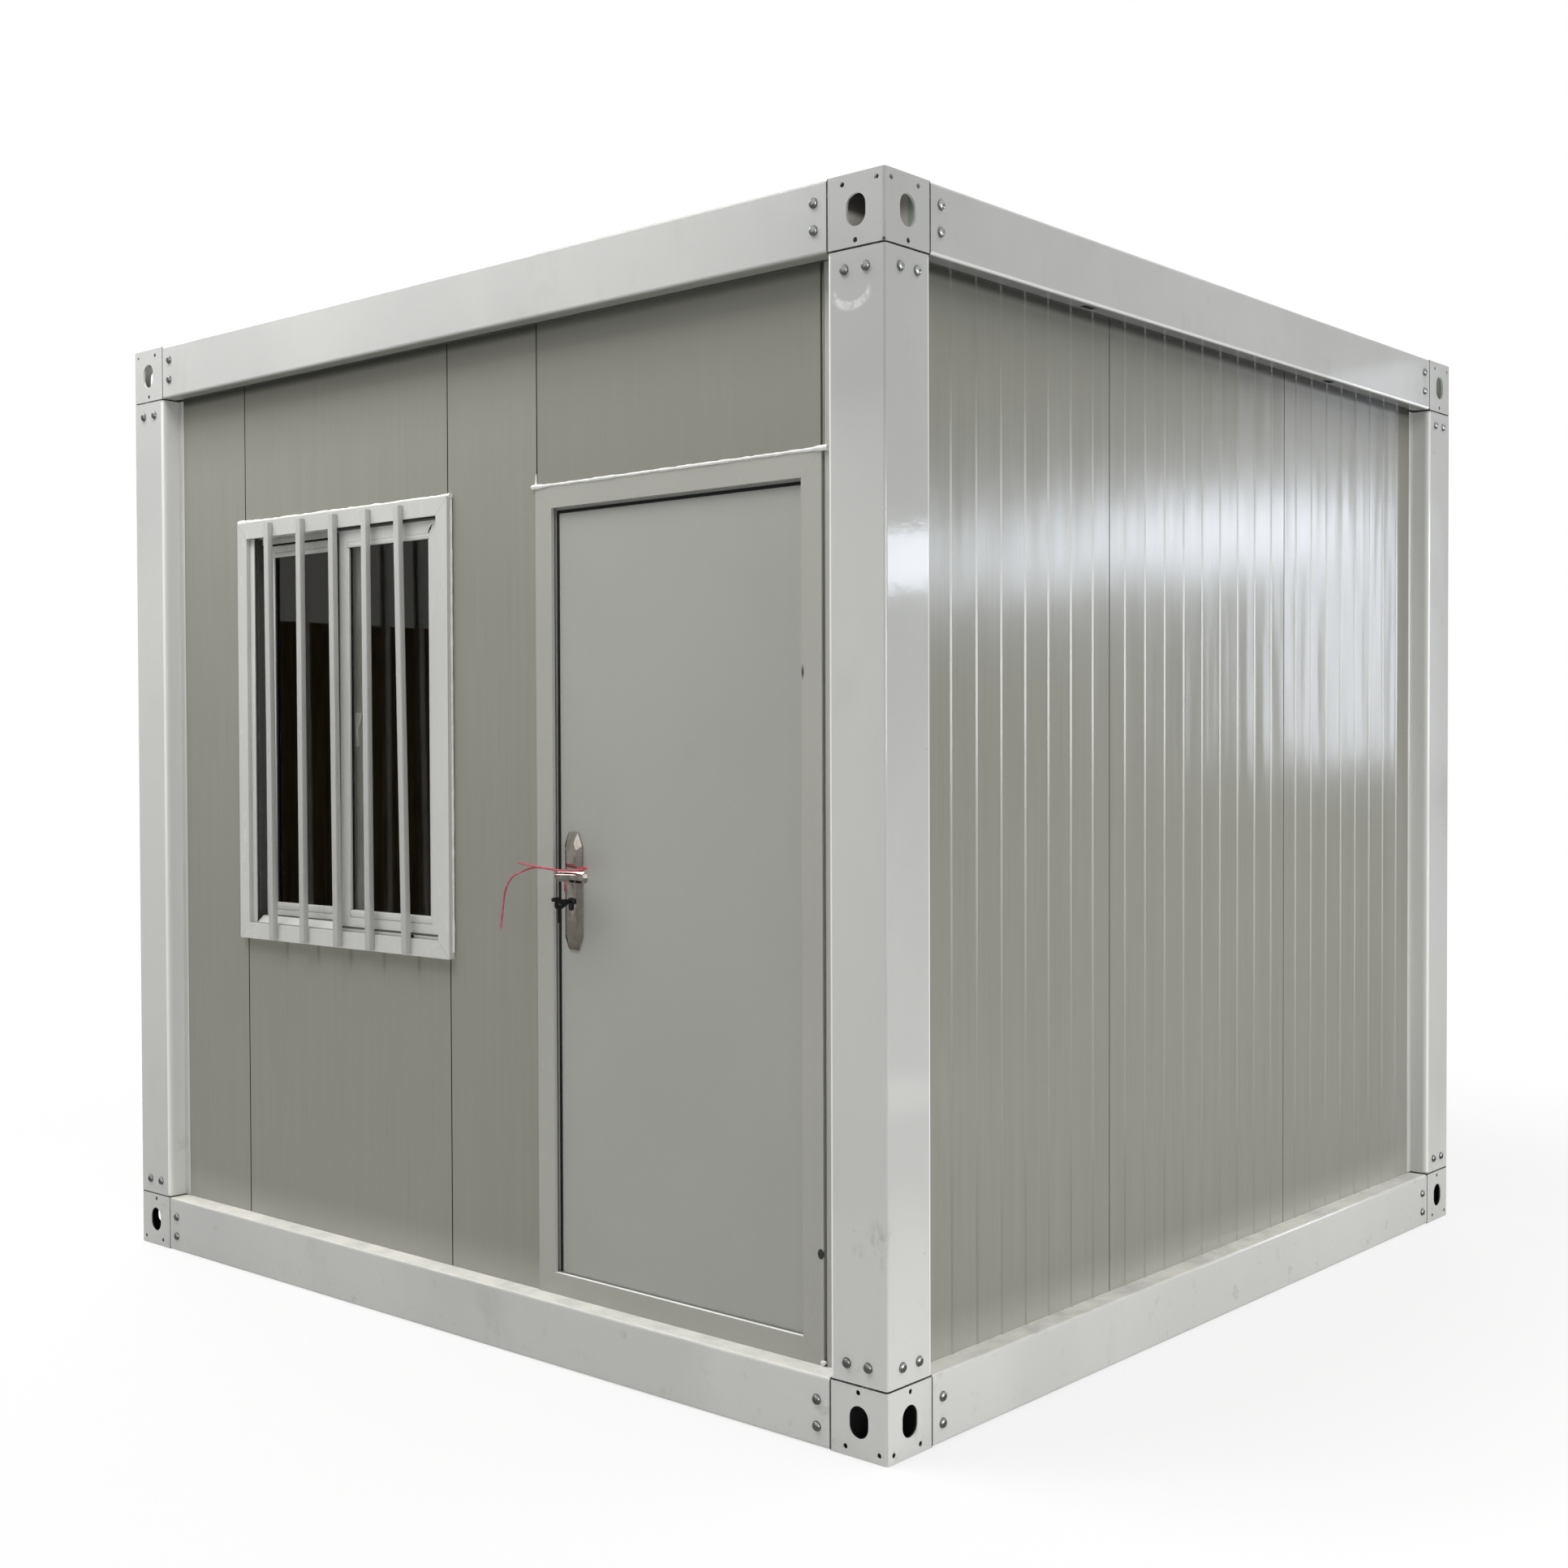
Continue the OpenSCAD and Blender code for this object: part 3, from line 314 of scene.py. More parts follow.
    # painted shade, near black, in the side beams' drain slots and inside the beam over them
    slot = across.band(1.4665, 1.4855, 0.001) * along.band(0.636, 0.684, 0.002)
    within = (across.band(1.40, 1.490, 0.0005) * along.band(0.60, 0.72, 0.01)
              * f.z.step(BEAM_FOOT + 0.0012, BEAM_FOOT + 0.002))
    drain = slot.most(within) * f.z.band(BEAM_FOOT - 0.005, BEAM_FOOT + 0.080, 0.001)
    colour = f.mix(drain, colour, (0.008, 0.008, 0.007))
    # dirt in the joints round the fittings
    beside = (across.band(EDGE - 0.0025, EDGE + 0.001, 0.0012)
              + along.band(EDGE - 0.0025, EDGE + 0.001, 0.0012))
    corner = across.step(EDGE - 0.010, EDGE - 0.002) * along.step(EDGE - 0.010, EDGE - 0.002)
    joint = (beside * end.step(FITTING + 0.002, FITTING - 0.002)
             + end.band(FITTING - 0.0008, FITTING + 0.0025, 0.0012) * corner)
    grit = f.noise(40.0, 4, rough=0.6).step(0.25, 0.55)
    joint = joint.least(1.0) * (0.35 + grit * 0.3 + f.x.step(-1.0, 1.0) * 0.35)
    colour = f.mix(joint, colour, (0.07, 0.067, 0.06))
    # painted light and shade inside the fittings' hollows
    inside = (across.band(EDGE + 0.004, HALF - 0.0025, 0.0005)
              * along.band(EDGE + 0.004, HALF - 0.0025, 0.0005)
              * end.band(0.0055, FITTING - 0.004, 0.0005))
    colour = f.mix(inside, colour, fitting_inside(f, across))
    rough = 0.05 + smear * 0.05 + ledge * 0.4 + dirt * 0.25 + (inside + drain) * 0.4
    peel = f.noise(95.0, 2) + f.noise(9.0, 2) * 5.0
    f.set(Base_Color=colour, Roughness=rough, Normal=f.bump(peel, 0.09, 0.0008))
    return f.material


def fitting_inside(f, across):
    """The colour of the fittings' insides, with their light and shade painted in: near black in the
    bottom ones, pale primed plates with darker bands in the top ones.
    """
    dim = (0.12, 0.115, 0.105)
    back_plate = f.mix(across.step(1.441, 1.446), (0.95, 0.92, 0.86), (0.60, 0.68, 0.60))
    side_plate = f.mix(f.z.step(2.730, 2.750), (0.95, 0.91, 0.83), dim)
    side_plate = f.mix(across.step(1.45, 1.46), side_plate, (0.95, 0.95, 0.93))
    lit_primer = f.mix(f.faces("X"), back_plate, side_plate)
    lit_primer = f.mix(f.z.band(2.688, 2.790, 0.004), dim, lit_primer)
    return f.mix(f.z.step(0.2, 2.0), (0.030, 0.028, 0.026), lit_primer)


def wall_skin(name, axis, lines, tilt, gloss):
    """Coil-coated grey skin: faint rolled lines that run upright, a slight wave, dusty foot,
    painted shade under the top beam.
    """
    f = Finish(name, Specular_IOR_Level=0.5)
    stretch = (1, 0.001, 0.02) if axis == "x" else (0.001, 1, 0.02)
    broad = f.noise(0.9, 3, (1, 1, 0.8)).step(0.3, 0.7)
    colour = f.mix(broad, (0.302, 0.297, 0.257), (0.285, 0.282, 0.243))
    streak = f.noise(55.0, 3, stretch, 0.6)
    colour = f.mix(streak.step(0.35, 0.75) * 0.22, colour, (0.345, 0.34, 0.30))
    rolled = f.noise(140.0, 1, stretch).step(0.60, 0.70) * lines
    colour = f.mix(rolled, colour, (0.22, 0.22, 0.19))
    # dust and splashes above the ledge, paler just over it, finger marks at breast height
    foot = f.z.step(0.55, 0.16) * f.noise(6.0, 6, (1, 1, 0.6), 0.65).step(0.40, 0.75)
    colour = f.mix(foot * 0.05, colour, (0.40, 0.38, 0.325))
    colour = f.mix(f.z.step(0.27, 0.165) * 0.5, colour, (0.47, 0.46, 0.415))
    marks = f.noise(7.0, 7, (1, 1, 0.8), 0.7).step(0.66, 0.80) * f.z.band(0.7, 1.9, 0.4)
    colour = f.mix(marks * 0.25, colour, (0.23, 0.225, 0.19))
    # painted shade below the top beam, and a near black line of painted shadow just under it
    colour = f.mix(f.z.step(2.36, 2.64) * 0.42, colour, (0.16, 0.158, 0.135))
    colour = f.mix(f.z.step(2.610, 2.632) * 0.85, colour, (0.035, 0.035, 0.03))
    strip = f.noise(10.0, 1, (stretch[0], stretch[1], 0.12)) * 4.0
    wave = f.noise(2.2, 3, (1, 1, 0.7)) * 6.0
    grain = f.noise(160.0, 2) * 0.25
    rough = gloss + foot * 0.03 + marks * 0.15 + streak * 0.05
    f.set(Base_Color=colour, Roughness=rough,
          Normal=f.bump(strip * tilt + wave + grain + streak * 0.5, 0.22, 0.0015))
    return f, colour


def front_skin():
    """The front's flat skin: painted shadows under the window bars, painted shade over the door,
    two rivets.
    """
    f, colour = wall_skin("wall_skin_flat", "x", 0.16, 0.5, 0.30)
    # painted shadows of the window bars, a little right of each bar under the window
    bar_shadows = 0.0
    for x in BAR_X:
        bar_shadows = f.near((x + 0.033, FRONT_SKIN, 0.985), 0.075, (5.5, 1, 1)) + bar_shadows
    colour = f.mix(bar_shadows * 0.5, colour, (0.15, 0.15, 0.13))
    # painted shade over the door, high up by the corner post
    over_door_shade = f.x.step(0.315, 0.325) * f.z.step(2.20, 2.24)
    colour = f.mix(over_door_shade * 0.35, colour, (0.22, 0.218, 0.19))
    rivets = (f.near((-EDGE, FRONT_SKIN, 1.937), 0.006)
              + f.near((-EDGE, FRONT_SKIN, 0.518), 0.006))
    f.set(Base_Color=f.mix(rivets * 0.8, colour, (0.05, 0.05, 0.045)))
    return f.material


def left_skin():
    """The left wall's ribbed skin, with board inside up to head height, seen through the window."""
    f, colour = wall_skin("wall_skin_left", "y", 0.25, 2.0, 0.14)
    board = f.z.step(1.985, 1.975) * f.x.step(-1.40, -1.394)
    grain = f.noise(7.0, 5, (9, 9, 0.4), 0.65)
    wood = f.mix(grain.step(0.3, 0.7), (0.25, 0.145, 0.070), (0.38, 0.235, 0.120))
    f.set(Base_Color=f.mix(board, colour, wood))
    return f.material


def door_paint():
    """The leaf's satin grey paint: fine speckle, rubbed places, dust at its foot."""
    f = Finish("door_paint", Specular_IOR_Level=0.45)
    broad = f.noise(1.2, 3).step(0.3, 0.7)
    colour = f.mix(broad, (0.405, 0.407, 0.378), (0.382, 0.385, 0.357))
    speck = f.noise(240.0, 2).step(0.35, 0.75)
    colour = f.mix(speck * 0.25, colour, (0.46, 0.46, 0.43))
    rub = f.noise(5.0, 6, (1, 1, 0.7), 0.65).step(0.60, 0.78)
    colour = f.mix(rub * 0.22, colour, (0.31, 0.31, 0.285))
    low = f.z.step(0.55, 0.2) * f.noise(9.0, 6, (1, 1, 0.4), 0.7).step(0.45, 0.75)
    colour = f.mix(low * 0.35, colour, (0.41, 0.39, 0.34))
    f.set(Base_Color=colour, Roughness=0.30 + rub * 0.12 + speck * 0.06,
          Normal=f.bump(speck * 0.5 + f.noise(60.0, 2), 0.12, 0.0006))
    return f.material


def door_frame_paint():
    """The frame's grey paint: rubbed places, a mitre line at each corner, a dusty sill, painted
    light on its inner faces and the sill's lip.
    """
    f = Finish("door_frame_paint", Specular_IOR_Level=0.5)
    broad = f.noise(1.6, 4, (1, 1, 0.6)).step(0.3, 0.7)
    colour = f.mix(broad, (0.455, 0.450, 0.412), (0.415, 0.411, 0.378))
    rub = f.noise(11.0, 7, (1, 1, 0.5), 0.7).step(0.60, 0.74)
    colour = f.mix(rub * 0.35, colour, (0.27, 0.265, 0.245))
    dust = f.faces("Z", 1) * f.noise(12.0, 5).step(0.25, 0.6)
    colour = f.mix(dust * 0.7, colour, (0.48, 0.46, 0.40))
    # painted light: paler where the faces turn in to the leaf, and a near white painted highlight
    # along the sill's lip
    colour = f.mix(f.faces("X") * 0.6, colour, (0.78, 0.775, 0.74))
    lip = f.faces("Z", 1) * f.z.band(0.20, 0.23, 0.01)
    colour = f.mix(lip, colour, (0.97, 0.97, 0.95))
    mitres = f.mitre(DOOR_MIDDLE, DOOR_HALF, DOOR_FACE)
    colour = f.mix(mitres * 0.15, colour, (0.14, 0.135, 0.12))
    # a slit for the latch's keeper and a dark chip low on the hinge side
    slit = f.near((1.217, -1.444, 1.728), 0.022, (4, 1, 1))
    chip = f.near((1.266, -1.444, 0.413), 0.0115, (1, 1, 0.75)).step(0.0, 0.4)
    colour = f.mix(slit.most(chip) * 0.95, colour, (0.02, 0.02, 0.018))
    f.set(Base_Color=colour, Roughness=0.24 + rub * 0.15 + dust * 0.3,
          Normal=f.bump(f.noise(120.0, 2) + f.noise(14.0, 2) * 3.0, 0.10, 0.0008))
    return f.material


def window_plastic(name, light, dark):
    """White extruded plastic: mitre lines on the frame, grime in patches, dusty ledges."""
    f = Finish(name, Specular_IOR_Level=0.5)
    broad = f.noise(2.0, 4, (1, 1, 0.5)).step(0.3, 0.7)
    colour = f.mix(broad, light, dark)
    grime = f.noise(26.0, 6, (1, 1, 0.4), 0.7).step(0.58, 0.74)
    colour = f.mix(grime * 0.4, colour, (0.40, 0.40, 0.385))
    ledge = f.faces("Z", 1) * f.noise(18.0, 5).step(0.3, 0.6)
    colour = f.mix(ledge * 0.35, colour, (0.48, 0.46, 0.42))
    mitres = f.mitre(WINDOW_MIDDLE, WINDOW_HALF, WINDOW_FACE)
    colour = f.mix(mitres * 0.5, colour, (0.30, 0.30, 0.29))
    # painted shade on the empty outer track's side
    track = f.x.step(-0.935, -0.952) * f.y.step(-1.4435, -1.4415)
    colour = f.mix(track * 0.75, colour, (0.09, 0.09, 0.085))
    f.set(Base_Color=colour, Roughness=0.26 + grime * 0.2,
          Normal=f.bump(f.noise(200.0, 2), 0.05, 0.0005))
    return f.material


def pane_glass():
    """Clear float glass with a film of dust."""
    f = Finish("pane_glass", IOR=1.45, Transmission_Weight=1.0)
    film = f.noise(7.0, 6, (1, 1, 0.5), 0.65).step(0.45, 0.8)
    f.set(Base_Color=f.mix(film, (0.80, 0.80, 0.76), (0.72, 0.72, 0.68)), Roughness=film * 0.04)
    return f.material


def brushed(name, light, dark, rough, metal=1.0):
    """Bare, plated or primed metal: fine lines, tarnish in patches."""
    f = Finish(name, Metallic=metal)
    lines = f.noise(170.0, 3, (1, 1, 0.08), 0.6)
    patch = f.noise(16.0, 6, rough=0.65).step(0.42, 0.72)
    f.set(Base_Color=f.mix(patch, light, dark), Roughness=rough + patch * 0.18 + lines * 0.06,
          Normal=f.bump(lines, 0.05, 0.0003))
    return f.material


def nickel():
    """Polished nickel, with a warm cast and finger marks."""
    f = Finish("polished_nickel", Metallic=1.0)
    haze = f.noise(38.0, 5, (1, 1, 0.6), 0.6).step(0.38, 0.72)
    colour = f.mix(haze, (0.60, 0.565, 0.52), (0.34, 0.31, 0.275))
    f.set(Base_Color=colour, Roughness=0.04 + haze * 0.09,
          Normal=f.bump(f.noise(60.0, 2), 0.06, 0.0006))
    return f.material


def plain_black(name, colour, worn, rough, shine=0.5):
    """Black rubber, plastic or metal, worn in small patches."""
    f = Finish(name, Specular_IOR_Level=shine)
    wear = f.noise(90.0, 5, rough=0.65).step(0.52, 0.75)
    f.set(Base_Color=f.mix(wear, colour, worn), Roughness=rough + wear * 0.15,
          Normal=f.bump(f.noise(400.0, 2), 0.08, 0.0003))
    return f.material


def board():
    """Bare plywood floor: long grain and boot dust."""
    f = Finish("floor_board", Specular_IOR_Level=0.3)
    grain = f.noise(3.0, 8, (1.2, 22, 4), 0.62)
    colour = f.mix(grain.step(0.32, 0.68), (0.36, 0.245, 0.145), (0.24, 0.150, 0.082))
    dust = f.noise(2.4, 6, rough=0.6).step(0.42, 0.75)
    colour = f.mix(dust * 0.5, colour, (0.40, 0.365, 0.31))
    f.set(Base_Color=colour, Roughness=0.55 + dust * 0.25, Normal=f.bump(grain, 0.25, 0.001))
    return f.material


def matt_sheet(name, light, dark, rough):
    """Coated sheet: broad changes of tone, and stains."""
    f = Finish(name, Specular_IOR_Level=0.4)
    broad = f.noise(1.7, 5, rough=0.6).step(0.3, 0.7)
    stain = f.noise(6.5, 7, rough=0.7).step(0.58, 0.76)
    colour = f.mix(broad, light, dark)
    shade = tuple(c * 0.62 for c in dark)
    f.set(Base_Color=f.mix(stain * 0.35, colour, shade), Roughness=rough + stain * 0.2,
          Normal=f.bump(f.noise(120.0, 3), 0.10, 0.0008))
    return f.material


def twisted_twine():
    """Red plastic twine: fine twisted strands, paler in places."""
    f = Finish("red_twine", Specular_IOR_Level=0.4)
    turns = f.node("TexWave", {"wave_type": "BANDS", "bands_direction": "DIAGONAL"},
                   {"Vector": f.place, "Scale": 260.0, "Distortion": 1.5, "Detail": 2.0})
    tone = f.noise(60.0, 4).step(0.35, 0.7)
    colour = f.mix(tone, (0.52, 0.080, 0.10), (0.68, 0.21, 0.235))
    colour = f.mix(turns * 0.5, colour, (0.33, 0.025, 0.04))
    f.set(Base_Color=colour, Roughness=0.45 + turns * 0.15, Normal=f.bump(turns, 0.5, 0.0006))
    return f.material


def sealant():
    """White sealant, smeared by thumb, greyer in patches."""
    f = Finish("white_sealant", Specular_IOR_Level=0.4)
    tone = f.noise(45.0, 5, rough=0.6).step(0.35, 0.72)
    f.set(Base_Color=f.mix(tone, (0.90, 0.90, 0.88), (0.78, 0.775, 0.745)),
          Roughness=0.42 + tone * 0.2, Normal=f.bump(f.noise(90.0, 4), 0.35, 0.0015))
    return f.material


FRAME_PAINT = frame_paint()
SKIN_FLAT = front_skin()
SKIN_RIGHT = wall_skin("wall_skin_right", "y", 0.20, 2.0, 0.15)[0].material
SKIN_BACK = wall_skin("wall_skin_back", "x", 0.20, 2.0, 0.15)[0].material
SKIN_LEFT = left_skin()
DOOR_PAINT = door_paint()
DOOR_FRAME_PAINT = door_frame_paint()
PLASTIC = window_plastic("window_plastic", (0.64, 0.64, 0.615), (0.58, 0.58, 0.555))
# grey plastic for the window bars, and painted shade where the window trim uses it
BAR_AND_SHADE_PLASTIC = window_plastic("bar_and_shade_plastic", (0.53, 0.53, 0.51), (0.47, 0.47, 0.45))
LATCH_PLASTIC = window_plastic("latch_plastic", (0.95, 0.95, 0.93), (0.90, 0.90, 0.88))
GLASS = pane_glass()
ZINC = brushed("zinc_plate", (0.36, 0.37, 0.36), (0.21, 0.215, 0.21), 0.20)
PRIMER = brushed("grey_primer", (0.36, 0.36, 0.35), (0.29, 0.29, 0.28), 0.5, 0.0)
NICKEL = nickel()
LOCK_BLACK = plain_black("lock_black", (0.012, 0.014, 0.020), (0.035, 0.040, 0.055), 0.16)
KEY_BLACK = plain_black("key_black", (0.008, 0.008, 0.009), (0.020, 0.020, 0.020), 0.34, 0.2)
RUBBER = plain_black("black_rubber", (0.010, 0.010, 0.010), (0.026, 0.025, 0.024), 0.55, 0.15)
# dark grey standing for the window tracks' painted shade
TRACK_SHADE = plain_black("track_shade_grey", (0.085, 0.085, 0.082), (0.13, 0.13, 0.125), 0.5)
FLOOR_BOARD = board()
CEILING = matt_sheet("ceiling_white", (0.70, 0.70, 0.68), (0.64, 0.64, 0.62), 0.55)
ROOF = matt_sheet("roof_coating", (0.36, 0.37, 0.36), (0.31, 0.32, 0.31), 0.38)
TWINE = twisted_twine()
SEALANT = sealant()

FINISHES = {
    "frame_paint": FRAME_PAINT, "wall_skin": SKIN_FLAT, "window_plastic": PLASTIC,
    "glass": GLASS, "door_paint": DOOR_FRAME_PAINT, "joist_steel": PRIMER, "floor": FLOOR_BOARD,
    "ceiling": CEILING, "roof_steel": ROOF, "hinge_steel": ZINC, "handle_metal": NICKEL,
    "lock_black": LOCK_BLACK, "key_black": KEY_BLACK, "twine": TWINE,
}
# the narrow panel by the corner post, wall_front_right, wears the door frame's paler paint: painted
# light in its shaded corner
OWN_FINISHES = {
    "wall_right": SKIN_RIGHT, "wall_back": SKIN_BACK, "wall_left": SKIN_LEFT,
    "door_leaf": DOOR_PAINT, "window_latch": LATCH_PLASTIC, "wall_front_right": DOOR_FRAME_PAINT,
}


def coat(piece, material):
    piece.data.materials.clear()
    piece.data.materials.append(material)


for part in frame["record"]["subparts"]:
    coat(nodes[part["node"]], OWN_FINISHES.get(part["node"], FINISHES[part["material_slot"]]))


# Making pieces

def alone(piece):
    """Selects one piece and nothing else."""
    bpy.ops.object.select_all(action="DESELECT")
    piece.select_set(True)
    bpy.context.view_layer.objects.active = piece


def settle(piece, name):
    """Puts the piece's place into its mesh."""
    alone(piece)
    bpy.ops.object.transform_apply(location=True, rotation=True, scale=True)
    piece.name = piece.data.name = name
    return piece


def pick_faces(piece, test):
    """Selects the faces that pass, in edit mode."""
    bpy.ops.mesh.select_all(action="DESELECT")
    bpy.context.tool_settings.mesh_select_mode = (False, False, True)
    mesh = bmesh.from_edit_mesh(piece.data)
    for face in mesh.faces:
        face.select_set(test(face))
    mesh.select_flush_mode()
    bmesh.update_edit_mesh(piece.data)


def pick_edges(piece, test):
    """Selects the edges whose two ends pass, in edit mode."""
    bpy.ops.mesh.select_all(action="DESELECT")
    bpy.context.tool_settings.mesh_select_mode = (False, True, False)
    mesh = bmesh.from_edit_mesh(piece.data)
    for edge in mesh.edges:
        edge.select_set(all(test(v.co) for v in edge.verts))
    bmesh.update_edit_mesh(piece.data)


def block(name, low, high, soft=0.0, segments=2):
    """A bar or plate between two corners, with softened edges."""
    low, high = Vector(low), Vector(high)
    bpy.ops.object.select_all(action="DESELECT")
    bpy.ops.mesh.primitive_cube_add(size=1.0, location=(low + high) / 2, scale=high - low)
    piece = settle(bpy.context.object, name)
    if soft:
        bpy.ops.object.mode_set(mode="EDIT")
        bpy.ops.mesh.select_all(action="SELECT")
        bpy.ops.mesh.bevel(offset=soft, offset_type="OFFSET", segments=segments, profile=0.5)
        bpy.ops.object.mode_set(mode="OBJECT")
        bpy.ops.object.shade_smooth_by_angle(angle=math.radians(40))
    return piece


def ring(name, low, high, width):
    """A flat frame round an opening that looks along Y, with a softened section."""
    piece = block(name, low, high)
    bpy.ops.object.mode_set(mode="EDIT")
    pick_faces(piece, lambda face: abs(face.normal.y) > 0.9)
    bpy.ops.mesh.inset(thickness=width, depth=0.0)
    bpy.ops.mesh.bridge_edge_loops()
    bpy.ops.mesh.select_all(action="SELECT")
    bpy.ops.mesh.bevel(offset=0.0012, offset_type="OFFSET", segments=1)
    bpy.ops.mesh.normals_make_consistent(inside=False)
    bpy.ops.object.mode_set(mode="OBJECT")
    return piece


def merge(name, pieces):
    """Joins pieces that are one part on the object."""
    bpy.ops.object.select_all(action="DESELECT")
    for piece in pieces:
        piece.select_set(True)
    bpy.context.view_layer.objects.active = pieces[0]
    bpy.ops.object.join()
    made = bpy.context.view_layer.objects.active
    made.name = made.data.name = name
    return made


def bead(name, points, thick, fineness=2):
    """A round bead through points, each with its own share of the thickness."""
    curve = bpy.data.curves.new(name, "CURVE")
    curve.dimensions = "3D"
    curve.bevel_depth = thick / 2
    curve.bevel_resolution = fineness
    curve.use_fill_caps = True
    line = curve.splines.new("POLY")
    line.points.add(len(points) - 1)
    for spot, (x, y, z, share) in zip(line.points, points):
        spot.co, spot.radius = (x, y, z, 1.0), share
    piece = bpy.data.objects.new(name, curve)
    bpy.context.scene.collection.objects.link(piece)
    alone(piece)
    bpy.ops.object.convert(target="MESH")
    piece = bpy.context.object
    bpy.ops.object.mode_set(mode="EDIT")
    bpy.ops.mesh.select_all(action="SELECT")
    bpy.ops.mesh.normals_make_consistent(inside=False)
    bpy.ops.object.mode_set(mode="OBJECT")
    bpy.ops.object.shade_smooth_by_angle(angle=math.radians(60))
    return settle(piece, name)


def fit(piece, material, body="house"):
    """Coats a finished piece and hangs it on its body."""
    coat(piece, material)
    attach(piece, body)


# Twine that is tied behind the lever, its ends loose

TWINE_D = 0.005
TWINE_LONG = [
    (18, 12, 8), (16.5, 11.3, 12), (13, 9, 15), (8, 5, 16), (2, 1.2, 15.2), (-9, 1, 15.3),
    (-20, 0.5, 16.2), (-35, -1, 17.5),
    (-47, -2, 18.5), (-59, -2, 19), (-71, -3, 19.5), (-83, -3, 19.5), (-95, -3, 18),
    (-107, -3, 15), (-118, -3, 12), (-130, -3, 8), (-142, -3, 4), (-154, -3, -0.5),
    (-165, -3, -5.5), (-175, -3, -12), (-183, -3, -20.5), (-190, -3, -30), (-196, -3, -40),
    (-200.5, -3, -51), (-203.5, -3, -63), (-205.5, -3, -75), (-207.5, -3, -87),
    (-209.5, -3, -99), (-211.5, -3, -111), (-214, -3, -123), (-216, -3, -134), (-218, -3, -145),
]
TWINE_SHORT = [
    (9, 14, -38), (9, 14, -30), (10, 13.6, -22), (13, 13, -14), (18, 12, -6), (25, 11.2, 1),
    (34, 11.3, 7), (44, 11.2, 12), (55, 11, 17), (66, 11, 21.5), (77, 10.6, 24.5), (87, 9.8, 26),
    (96, 7.4, 25.6), (101.5, 2.9, 24.4), (102.5, -2.6, 22.8), (98.5, -7.4, 21.2), (91, -9.6, 20),
    (81, -9.4, 19), (70, -8.2, 18.2), (58, -6, 17.5), (46, -5.5, 16.8), (35, -5.2, 16),
    (24, -5, 15.4), (12, -4.8, 15), (0, -5, 15.4), (-12, -5.6, 16.6),
    (-24, -6, 18), (-36, -7, 19.5), (-48, -8, 21), (-60, -9, 22), (-72, -9, 23),
    (-84, -9, 24), (-96, -9, 25), (-108, -9, 26), (-120, -9, 27.5), (-130, -9, 29),
    (-138, -9, 30),
]


def lay_twine(name, route):
    """One length of twine along a route that starts at the lever, in mm from its middle."""
    points = [LEVER + Vector(p) * MM for p in route]
    tube = bead(name, [(*p, 1.0) for p in points], TWINE_D, 4)
    fit(tube, TWINE, "lever")
    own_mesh(tube)
    return tube


twine = lay_twine("twine_long", TWINE_LONG)
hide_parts("lever_twine")
lay_twine("twine_short", TWINE_SHORT)


# Dome-head bolts at the ends of the beams and posts

BOLT_R = 0.0108
# Steps of the dome: how far each rises, and its share of the head's radius
BOLT_RISE = [(0.0022, 1.0), (0.0018, 0.93), (0.0015, 0.76), (0.0010, 0.50)]
WASHER_T, WASHER_RIM = 0.0008, 0.12
# How far in from the end of a side the bolts are, and how far from the house's foot or top
BEAM_BOLT_IN, BEAM_BOLT_ROWS = 0.200, (0.045, 0.105)
POST_BOLTS_IN, POST_BOLT_ROW = (0.053, 0.113), 0.205


def bolt():
    """A dome head on a thin washer, standing on z = 0 and looking up."""
    bpy.ops.object.select_all(action="DESELECT")
    bpy.ops.mesh.primitive_cylinder_add(vertices=18, radius=BOLT_R * (1 + WASHER_RIM),
                                        depth=WASHER_T, location=(0, 0, WASHER_T / 2))
    piece = settle(bpy.context.object, "bolt")
    bpy.ops.object.mode_set(mode="EDIT")
    pick_faces(piece, lambda face: face.normal.z > 0.9)
    bpy.ops.mesh.inset(thickness=BOLT_R * WASHER_RIM, depth=0.0)
    wide = 1.0
    for rise, share in BOLT_RISE:
        bpy.ops.mesh.extrude_region_move(TRANSFORM_OT_translate={"value": (0, 0, rise)})
        bpy.ops.transform.resize(value=(share / wide, share / wide, 1.0))
        wide = share
    bpy.ops.object.mode_set(mode="OBJECT")
    bpy.ops.object.shade_smooth_by_angle(angle=math.radians(50))
    return piece


def bolt_places():
    """Where the bolts sit on one side: along it from its middle, and height."""
    rows = (*BEAM_BOLT_ROWS, *(HEIGHT - row for row in BEAM_BOLT_ROWS))
    for s in (-1, 1):
        for z in rows:
            yield s * (HALF - BEAM_BOLT_IN), z
        for inset in POST_BOLTS_IN:
            for z in (POST_BOLT_ROW, HEIGHT - POST_BOLT_ROW):
                yield s * (HALF - inset), z


def set_bolts():
    one = bolt()
    out = Matrix.Rotation(math.radians(90), 4, "X")
    for k, side in enumerate(("front", "right", "back", "left")):
        turn = Matrix.Rotation(math.radians(90 * k), 4, "Z")
        copies = []
        for along, z in bolt_places():
            copy = one.copy()
            copy.data = one.data.copy()
            bpy.context.scene.collection.objects.link(copy)
            spin = Matrix.Rotation(chance.uniform(0, 6.28), 4, "Z")
            copy.data.transform(turn @ Matrix.Translation((along, -HALF, z)) @ out @ spin)
            copies.append(copy)
        fit(merge("bolts_" + side, copies), ZINC)
    bpy.data.objects.remove(one)


set_bolts()


# Window trim, cords in the panel joints, the door's seal and shadow gap, sealant

BAR_W, BAR_D = 0.022, 0.018
